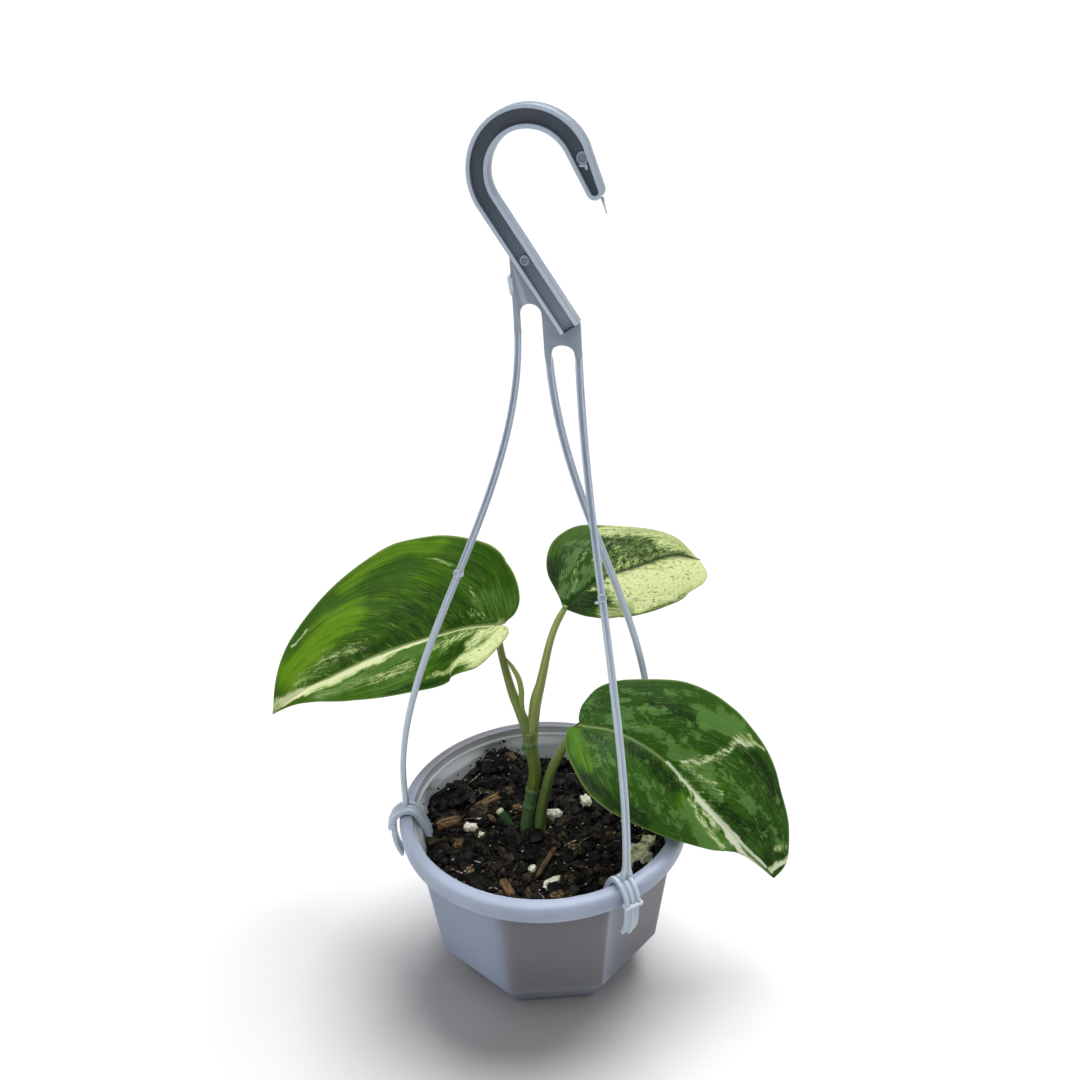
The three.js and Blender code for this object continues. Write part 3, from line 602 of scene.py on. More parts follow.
def clip(side):
    half, bar, parts = hanger["clipWidth"] / 2, hanger["clipBar"], []
    for points, section, count, sign in hanger["clipBands"]:
        curve = curveThrough([(r, 0, z) for r, z in points])
        centres, slopes = alongCurve(curve, np.linspace(0, curve[1][-1], count))
        parts.append(sweep(centres, np.array(section) * (half, 1), (0, sign, 0), slopes))
    corners = [Vector((x, y, z)) * Vector(bar["half"]) for x in (-1, 1) for y in (-1, 1) for z in (-1, 1)]
    corners = np.array([Matrix.Rotation(bar["tilt"], 3, "Y") @ corner for corner in corners]) + bar["place"]
    parts.append((corners, [[0, 1, 3, 2], [4, 6, 7, 5], [0, 4, 5, 1], [2, 3, 7, 6], [0, 2, 6, 4], [1, 5, 7, 3]]))
    points, faces = joinParts(parts)
    return points @ spinBy(math.radians(hanger["clipAngles"][side])), faces


def pinMark(centre, axis, radius, thickness):
    # a round mark with a raised rim, left by an ejector pin
    axis, top = unit(np.asarray(axis, float)), thickness / 2
    levels = np.array([-top, top - 0.12, top, top, top - 0.1, top - 0.45])
    radii = radius - np.array([0, 0, 0.12, 0.4, 0.55, 0.65])
    other = (0, 0, 1) if abs(axis[2]) < 0.9 else (1, 0, 0)
    return sweep(centre + levels[:, None] * axis, roundSection(radii, 28), other, np.array([axis] * 6))


def frayedScraps(frontPin):
    # left from moulding
    scraps = []
    for n, (size, place) in enumerate(hanger["scraps"]):
        points, faces, _ = lobedBall(size, 8, (0, 0, 0), n + 5, 3, 0.45, 0.5)
        scraps.append((toHook(points + place), faces))
    size, place = hanger["pinScrap"]
    scraps.append(lobedBall(size, 10, frontPin + place, 9, 3, 0.5, 0.5)[:2])
    scraps.append(sweep(toHook(hanger["thread"]), roundSection([0.6, 0.4, 0.2], 8), (1, 0, 0)))
    return joinParts(scraps)


def buildHanger():
    hook = buildHook()
    parts, pins = [], hanger["pins"]
    for side in hanger["strands"]:
        body, path, across, t = strand(side)
        parts.append(body)
        if side in pins:
            i = int(np.argmin(np.abs(t - pins[side])))
            outward = np.cross(unit(np.gradient(path, axis=0))[i], across[i])
            parts.append(pinMark(path[i], outward, pins["radius"], 2.7))
            pin = path[i]   # the front one is last
    before = sum(len(part[0]) for part in parts)
    parts += [pinMark(toHook([x, y, -1.4]), hookMatrix[:3, 2], radius, 1.8) for x, y, radius in hanger["hookPins"]]
    points, faces = joinParts(parts)
    # painted light: the strands are painted paler lower down; painted shade: the pin marks in the hook's channel are
    # painted darker
    fields = {"paintedLight": 0.95 * smoothStep((225 - points[:, 2]) / 90), "deep": 0.45 * (np.arange(len(points)) >= before)}
    strands = makePiece("strands", points, faces, hangerPlastic, fields, 60)
    points, faces = joinParts([clip(side) for side in hanger["strands"]])
    # the clips are painted paler, a painted light
    clips = makePiece("clips", points, faces, hangerPlastic, {"paintedLight": np.full(len(points), 0.7)})
    soften(clips, 0.2, 30)
    points, faces = frayedScraps(pin)
    # the torn scraps and thread are painted fully pale, a painted light
    frayed = makePiece("frayed", points, faces, hangerPlastic, {"paintedLight": np.full(len(points), 1.0)})
    pieces = [hook, strands, clips, frayed]
    for piece in pieces:
        piece.select_set(True)
    with bpy.context.temp_override(active_object=hook, selected_editable_objects=pieces):
        bpy.ops.object.join()
    settle(hook, "hanger")


buildHanger()
print("hanger built")

# potting mix: coarse bark compost, moist; near black with brown crumbs and a few pale ones
soil = {
    "colours": ((0.12, "#010101"), (0.4, "#0B0905"), (0.62, "#2C2718"), (0.8, "#5C4526"), (0.97, "#D8D2C0")),
    "level": 58.5,
    "floor": 2.3,
    "rows": 110,
    "heaps": ((-20, 42, 13, 9.5), (-42, 24, 11, 6), (10, 48, 10, -2.5)),   # x, y, width, height
    # what is strewn on it: how many, how far from the middle, the least size and how much is added at most
    "crumbs": (3300, 52.5, 0.35, 0.5),
    "lumps": (95, 48, 1.3, 1.5),
    "chips": (150, 47, 1.2, 2.2),
    "specks": (230, 50, 0.18, 0.25),
    "fibres": (70, 46, 4, 9),
    "clinging": 110,
    "brownShare": 0.2,
    "paleShare": 0.045,   # of all crumbs
}


def moistCompost():
    material, add, finish = newMaterial("moistBarkCompost")
    place = add("TexCoord", output="Object")
    tint = add("Attribute", attribute_name="tint", output="Fac")
    # grit 1.5 mm across, and wet patches of 6 mm that shine
    fine = add("TexNoise", {"Vector": place, "Scale": 700.0, "Detail": 6.0, "Roughness": 0.7})
    coarse = add("TexNoise", {"Vector": place, "Scale": 160.0, "Detail": 4.0})
    amount = add("Math", [tint, add("MapRange", [fine, 0.3, 0.7, -0.26, 0.26])], operation="ADD")
    finish({"Base Color": add("ValToRGB", [amount], stops=soil["colours"]),
            "Roughness": add("MapRange", [coarse, 0.4, 0.62, 0.9, 0.36]),
            "Normal": add("Bump", {"Height": fine, "Strength": 0.9, "Distance": 0.0006}),
            "Specular IOR Level": 0.2})
    return material


def soilHeight(x, y):
    z = soil["level"] + 0.7 * np.sin(x * 0.35 + 1.3) * np.cos(y * 0.31) + 0.5 * np.sin(x * 0.8 - y * 0.7)
    for cx, cy, width, height in soil["heaps"]:
        z = z + height * np.exp(-((x - cx) ** 2 + (y - cy) ** 2) / width ** 2)
    return z


def soilBody():
    gap = pot["wall"] + 0.12
    rings = [wallRing(z, gap) for z in (soil["floor"], 8, 15, 30, 50, 55)]
    edge = wallRing(soil["level"], gap)[:, :2]
    surface = []
    for share in np.linspace(1, 0.004, soil["rows"]) ** 0.9:
        x, y = (edge * share).T
        surface.append(np.stack([x, y, soilHeight(x, y)], -1))
    surface = np.array(surface)
    spots = surface.reshape(-1, 3)
    spots[:, 2] += 1.9 * bumpy(spots, 6.5, 3, 1) + 1.2 * np.abs(bumpy(spots, 2.4, 3, 2)) - 0.4
    surface[0, :, 2] = np.maximum(surface[0, :, 2] - 0.4, 55.5)
    return skin(np.concatenate([np.array(rings), surface]))


def buildSoil():
    draw = random.Random(11)
    small, large = [lobedBall((1, 1, 1), 0, (0, 0, 0), 3, level, 0, 1)[:2] for level in (1, 2)]
    points, faces = soilBody()
    parts, tints = [(points, faces)], [0.12 + 0.1 * np.clip(bumpy(points, 4, 3, 4), -1, 1)]

    def lay(body, shape, tint):
        parts.append((body, shape))
        tints.append(tint + np.zeros(len(body)))

    def spot(reach):
        angle = draw.random() * fullTurn
        distance = reach * math.sqrt(draw.random())
        x, y = distance * math.cos(angle), distance * math.sin(angle)
        return x, y, float(soilHeight(np.array(x), np.array(y)))

    def uneven(base, low, span):
        return base * np.array([low + span * draw.random() for _ in base])[:, None]

    def tumbled(body):
        spin = Matrix.Rotation(draw.random() * 6.3, 3, "Z") @ Matrix.Rotation(draw.random() * 1.6 - 0.8, 3, "X")
        return body @ np.array(spin).T

    count, reach, least, more = soil["crumbs"]
    for i in range(count):
        x, y, z = spot(reach)
        size = least + more * draw.random() + (1.3 * draw.random() ** 3 if i % 3 == 0 else 0)
        if i % 40 == 0:
            size = 1.9 + 1.2 * draw.random()
        if math.hypot(x, y) + size > (reach + 0.4) * facetReach(math.atan2(y, x)):
            continue
        base, shape = large if size > 0.95 else small
        stretch = np.array([1 + 0.7 * draw.random(), 1, 0.55 + 0.4 * draw.random()])
        body = tumbled(uneven(base, 0.72, 0.56) * stretch * size)
        z += 0.35 * size + draw.random() * 0.9
        kind, shade = draw.random(), 0.02 + 0.3 * draw.random()
        if kind > 1 - soil["brownShare"]:
            shade = 0.42 + 0.2 * draw.random()
        if kind > 1 - soil["paleShare"]:
            shade = 0.66 + 0.1 * draw.random()
        lay(body + (x, y, z), shape, shade)
    # larger lumps of fibre and bark
    count, reach, least, more = soil["lumps"]
    for i in range(count):
        x, y, z = spot(reach)
        size = least + more * draw.random() ** 1.5
        form = (size * (1 + 0.5 * draw.random()), size, 0.75 * size)
        body, shape, _ = lobedBall(form, 360 * draw.random(), (x, y, z + 0.9), i + 3, 2, 0.62, 0.5,
                                   0.6 * draw.random())
        lay(body, shape, np.clip(0.34 + 0.24 * draw.random() + 0.14 * bumpy(body, 1.2, 2, i), 0, 0.6))
    # flat chips of bark
    count, reach, least, more = soil["chips"]
    for i in range(count):
        x, y, z = spot(reach)
        length = least + more * draw.random() ** 2
        body = tumbled(uneven(large[0], 0.7, 0.5) * (length, 0.3 * length + 0.3, 0.3))
        z += 1.1 + draw.random() * 0.8
        lay(body + (x, y, z), large[1], 0.3 + 0.36 * draw.random() ** 1.8)
    # crumbs that cling to the wall at the back left, above the soil line
    for i in range(soil["clinging"]):
        angle = math.radians(95 + 90 * draw.random())
        z = soil["level"] + 1.5 + 9 * draw.random() ** 2.6
        radius, share = potOutside(z)
        wall = (radius - pot["wall"]) * blend(1, facetReach(angle), share)
        size = 0.18 + 0.7 * draw.random() ** 3
        body = uneven(small[0], 0.45, 1.1) * size
        out = wall - 0.6 * size
        lay(body + (out * math.cos(angle), out * math.sin(angle), z), small[1], 0.05 + 0.3 * draw.random())
    # tiny white specks of perlite dust
    count, reach, least, more = soil["specks"]
    for i in range(count):
        x, y, z = spot(reach)
        size = least + more * draw.random() ** 2
        z += 0.9 + 0.7 * draw.random()
        lay(small[0] * size * (1.4, 1, 0.8) + (x, y, z), small[1], 0.95 + 0.1 * draw.random())
    # fibres and root hairs
    steps = np.linspace(-0.5, 0.5, 12)
    count, reach, least, more = soil["fibres"]
    for i in range(count):
        x, y, z = spot(reach)
        heading, length = draw.random() * 6.3, least + more * draw.random()
        bend = (draw.random() - 0.5) * 1.6 * steps ** 2
        line = np.stack([
            x + length * (steps * math.cos(heading) + bend * math.sin(heading)),
            y + length * (steps * math.sin(heading) - bend * math.cos(heading)),
            z + 1.5 + 5.2 * (0.25 - steps ** 2) * draw.random(),
        ], -1)
        thick = 0.12 + 0.22 * draw.random()
        fibre = sweep(line, roundSection(thick * (1 - 1.3 * steps ** 2), 6, 0.6), (0, 0, 1))
        lay(*fibre, 0.5 + 0.4 * draw.random())
    points, faces = joinParts(parts)
    # painted shade: the mix is painted blacker towards the back
    tint = np.concatenate(tints)
    tint = np.where(tint < 0.7, tint - 0.16 * smoothStep((points[:, 1] + 2) / 26), tint)
    piece = makePiece("soil_mix", points, faces, moistCompost(), {"tint": tint}, 28, False)
    settle(piece, "soil")


buildSoil()
print("soil built")

# bark, perlite and stones that lie on the mix: kind, place, half sizes and turn
lumps = {
    "bark_strip": ("bark", (-21.3, 19.5, 59.8), (11.5, 2.6, 1.2), 35),
    "bark_left": ("bark", (-40.5, 6.5, 59.8), (5.5, 3, 1.2), 12),
    "bark_near": ("bark", (-36, -7, 59.4), (2.6, 2, 1.6), 70),
    "bark_front": ("bark", (-17, -34, 59.2), (5.5, 1.9, 1.4), 110),
    "bark_stick": ("bark", (-0.8, -23, 61), (9.5, 1, 0.9), 62),
    "grain_block": ("grain", (4.9, 7, 60.8), (3.4, 2.4, 2.5), 5),
    "grain_left": ("grain", (-31, 3.2, 60.2), (3.2, 1.9, 1.7), -15),
    "grain_side": ("grain", (-26.3, 7.6, 60), (2.2, 1.6, 1.4), 20),
    "grain_near": ("grain", (-26.6, -1.6, 59.8), (1.5, 1.3, 1.3), 70),
    "grain_back": ("grain", (19, 15, 60.6), (3.2, 2.4, 2), 100),
    "grain_front": ("grain", (-6.4, -24, 60), (1.7, 1.4, 1.3), 40),
    "chip_front": ("grain", (0.8, -32.4, 60), (4, 2, 1.6), 40),
    "stone_big": ("stone", (37, -21.3, 60.8), (5, 4.6, 4.4), 10),
    "stone_small": ("stone", (42, -13.6, 60), (3.6, 3, 2.8), 50),
}
# slot, roughness and squareness of the form; for a mineral its name, colours, pores in a metre and roughness
lumpKinds = {
    "bark": ("bark", 0.22, 0.55, None),
    "grain": ("perlite", 0.3, 0.35, ("expandedPerlite", ("#8C8672", "#C9C6B4", "#ECEADF"), 1100.0, 0.9)),
    "stone": ("pale_stone", 0.3, 0.35, ("crushedPaleStone", ("#4E5236", "#A3A77E", "#DADCBE"), 1400.0, 0.8)),
}


def pineBark():
    # composted pine bark, torn along its fibres: streaks 0.3 mm apart
    material, add, finish = newMaterial("compostedPineBark")
    place = add("Attribute", attribute_name="grain", output="Vector")
    stretched = add("Mapping", {"Vector": place, "Scale": (130.0, 2600.0, 1500.0)})
    fibre = add("TexNoise", {"Vector": stretched, "Scale": 1.0, "Detail": 5.0, "Roughness": 0.65})
    patch = add("TexNoise", {"Vector": place, "Scale": 260.0, "Detail": 3.0})
    tone = add("ValToRGB", [fibre], stops=[(0.36, "#120B05"), (0.46, "#34240F"), (0.55, "#6E5026"), (0.68, "#A8823F")])
    finish({"Base Color": add("Mix", [add("MapRange", [patch, 0.4, 0.75]), tone, "#2A1D10"]), "Roughness": 0.8,
            "Normal": add("Bump", {"Height": fibre, "Strength": 0.8, "Distance": 0.0005})})
    return material


def mineral(name, colours, poreCount, rough):
    # expanded or crushed mineral grain: chalky, with pores
    material, add, finish = newMaterial(name)
    place = add("TexCoord", output="Object")
    pores = add("TexVoronoi", {"Vector": place, "Scale": poreCount})
    dust = add("TexNoise", {"Vector": place, "Scale": 500.0, "Detail": 5.0, "Roughness": 0.7})
    finish({"Base Color": add("ValToRGB", [dust], stops=list(zip((0.34, 0.46, 0.66), colours))), "Roughness": rough,
            "Normal": add("Bump", {"Height": pores, "Strength": 0.5, "Distance": 0.0004})})
    return material


def buildLumps():
    finishes = {kind: mineral(*form[3]) if form[3] else pineBark() for kind, form in lumpKinds.items()}
    for n, (name, (kind, place, size, turn)) in enumerate(lumps.items()):
        slotName, roughness, squareness, _ = lumpKinds[kind]
        points, faces, local = lobedBall(size, turn, place, n + 2, 4, roughness, 0.55, squareness)
        if kind == "bark":
            # torn ends and lengthwise ridges; laid on top of the crumbs
            ridge = bumpy(local * (0.25, 3.0, 3.0), 2.2, 3, n)
            points = points + (0, 0, 0.35) * ridge[:, None] + (0, 0, 1.1)
        piece = makePiece(name + "_fine", points, faces, finishes[kind], {"grain": local * mm})
        settle(piece, name)


buildLumps()
print("bark and grains laid")

# stem and leaf stalks: the lines they follow
stems = {
    "cane": [(-8, 2, 44), (-7.6, 2, 59), (-6.1, 2, 69), (-4.4, 2, 78.7), (-3, 2, 87.8), (-3.7, 2, 96), (-4.4, 2, 103),
             (-4.6, 2, 108)],
    "nodes": (0.42, 0.545, 0.915),   # shares of the cane's length
    "left": [(-5, 2, 101), (-5.6, 3, 108), (-7.7, 5.4, 115), (-10.4, 9.4, 121.7), (-13, 14, 131.5), (-14.6, 17, 140),
             (-15.2, 18.5, 146.8), (-15.7, 19.3, 148.7)],
    "upper": [(-4, 2, 101), (-3.4, 3, 107.7), (-1.7, 5.5, 117.5), (1.6, 11, 127.6), (5.8, 19, 139.4), (9, 24.5, 144.6),
              (12, 28.2, 148), (13.5, 29.8, 149.7)],
    "lower": [(-1.8, 1.2, 44), (-1.6, 1, 61), (-1.1, 1, 67), (0.3, 0.8, 75), (3.5, 0.5, 88.5), (8.2, -0.2, 99.4),
              (14.4, -1, 110.2), (16.4, -1.2, 112)],
    "strip": [(-6.6, 4, 111), (-7.2, 6, 119), (-7, 8, 124.4), (-7.8, 10, 128.6), (-10, 12.4, 132.5),
              (-13, 14.6, 136.5)],
    "sheath": [(-3.6, 3.4, 110), (-2.4, 6.4, 119), (-0.1, 10.4, 127)],
    "stub": [(-12.6, 2.6, 50), (-14, 3, 59), (-18.7, 5, 67)],
    # each leaf stalk's radius: at the foot, what it loses on the way, what it draws in at the end, how early
    "petioles": {"left": (2.3, 0.8, 0.4, 1.2), "upper": (2.5, 1.05, 0.4, 1.2), "lower": (2.7, 0.9, 0.6, 1.1)},
    # three streak colours, dark rings and pale places
    "skin": ("#35450F", "#50661B", "#7F8D3A", "#456548", "#A8B067"),
    "stubSkin": ("#1C3320", "#274A2B", "#3C6440", "#14241A", "#C9C7A4"),
}


def freshStem(name, colours):
    # fresh, juicy stem: fine lengthwise grooves, darker rings at the nodes
    material, add, finish = newMaterial(name)
    dark, pale = [add("Attribute", attribute_name=key, output="Fac") for key in ("dark", "pale")]
    around = add("Attribute", attribute_name="around", output="Vector")
    stretched = add("Mapping", {"Vector": around, "Scale": (9.0, 9.0, 0.03)})
    streak = add("TexNoise", {"Vector": stretched, "Scale": 1.0, "Detail": 4.0, "Roughness": 0.6})
    spot = add("TexNoise", {"Vector": add("TexCoord", output="Object"), "Scale": 350.0, "Detail": 3.0})
    colour = add("ValToRGB", [streak], stops=list(zip((0.34, 0.5, 0.68), colours)))
    for share, tone in ((dark, colours[3]), (pale, colours[4]),
                        (add("MapRange", [spot, 0.58, 0.7, 0.0, 0.35]), colours[2])):
        colour = add("Mix", [share, colour, tone])
    finish({"Base Color": colour, "Roughness": 0.42,
            "Normal": add("Bump", {"Height": streak, "Strength": 0.35, "Distance": 0.0004}),
            "Subsurface Weight": 0.08, "Subsurface Radius": (0.4, 1.0, 0.2), "Subsurface Scale": 0.001})
    return material


def stalk(name, radiusAt, sides=32, groove=0.2, flat=1.0, rows=None):
    curve = curveThrough(stems[name])
    length = curve[1][-1]
    t = np.linspace(0, 1, rows or max(24, int(length * 2.2)))
    centres, slopes = alongCurve(curve, t * length)
    angles = np.linspace(0, fullTurn, sides, endpoint=False)
    # one shallow channel along the upper side and fine ribs all round
    channel = 1 - groove * np.exp(-((angles - math.pi / 2) / 0.55) ** 2) + 0.018 * np.cos(angles * 9)
    sections = roundSection(radiusAt(t), sides, flat) * channel[None, :, None]
    around = np.stack([np.tile(np.cos(angles), len(t)), np.tile(np.sin(angles), len(t)),
                       np.repeat(t * length, sides)], -1)
    return (*sweep(centres, sections, (1, 0, 0), slopes), np.vstack([around, [0, 0, 0], [0, 0, length]]),
            np.concatenate([np.repeat(t, sides), [0, 1]]))


def stemPiece(name, parts, material, node):
    # each part: points, faces, places round it, then how dark and how pale
    points, faces = joinParts([part[:2] for part in parts])
    fields = {"around": np.vstack([part[2] for part in parts])}
    for key, k in (("dark", 3), ("pale", 4)):
        fields[key] = np.concatenate([part[k] + np.zeros(len(part[0])) for part in parts])
    settle(makePiece(name, points, faces, material, fields), node)


def caneRadius(t):
    radius = 2.6
    for node in stems["nodes"]:
        radius = radius + 0.35 * np.exp(-((t - node) / 0.012) ** 2) - 0.16 * np.exp(-((t - node - 0.03) / 0.01) ** 2)
    return radius


def petiole(name, groove=0.2):
    # a stalk that is thinner upwards, and drawn in at the very end, where it meets the blade
    foot, loss, close, pace = stems["petioles"][name]
    return stalk(name, lambda t: foot - loss * smoothStep(t * pace) - close * t ** 16, groove=groove)


def buildStems():
    *cane, share = stalk("cane", caneRadius, 40, 0.0, rows=260)
    rings = sum(np.exp(-((share - node - 0.004) / 0.012) ** 2) for node in stems["nodes"])
    between = ((share > 0.2) & (share < 0.53)) * 0.7
    *left, leftShare = petiole("left", 0.18)
    *upper, upperShare = petiole("upper")
    strip = stalk("strip", lambda t: 1.15 * (1 - 0.8 * t ** 6), 20, 0.25, 0.6)[:3]
    sheath = stalk("sheath", lambda t: 1.55 * (1 - 0.9 * t ** 4), 20, 0.3, 0.8)[:3]
    scale = lobedBall((0.9, 1, 1.7), 0, (-7.3, 1.6, 101), 4, 3, 0.1, 0.8)[:2]
    stemSkin = freshStem("freshStemSkin", stems["skin"])
    stemPiece("stem_fresh", [
        (*cane, np.clip(rings + between, 0, 1), 0),
        (*left, 0.25 * (1 - leftShare), 0.25 * leftShare),
        (*upper, 0.1 * (1 - upperShare), 0.25),
        (*strip, 0, 0.3),
        (*sheath, 0, 0.25),
        (*scale, np.zeros((len(scale[0]), 3)), 0.9, 0),
    ], stemSkin, "stem")
    *lower, share = petiole("lower")
    stemPiece("petiole_lower_fresh", [(*lower, 0.7 * (1 - share) ** 2, 0.1 * share)], stemSkin,
              "petiole_lower")
    *stub, share = stalk("stub", lambda t: 1.75 - 0.25 * smoothStep((t - 0.94) / 0.06), 28, 0.05, rows=50)
    stemPiece("cut_stub_fresh", [(*stub, 0, 0.85 * smoothStep((share - 0.93) / 0.05))],
              freshStem("freshCutStub", stems["stubSkin"]), "cut_stub")


buildStems()
print("stems built")

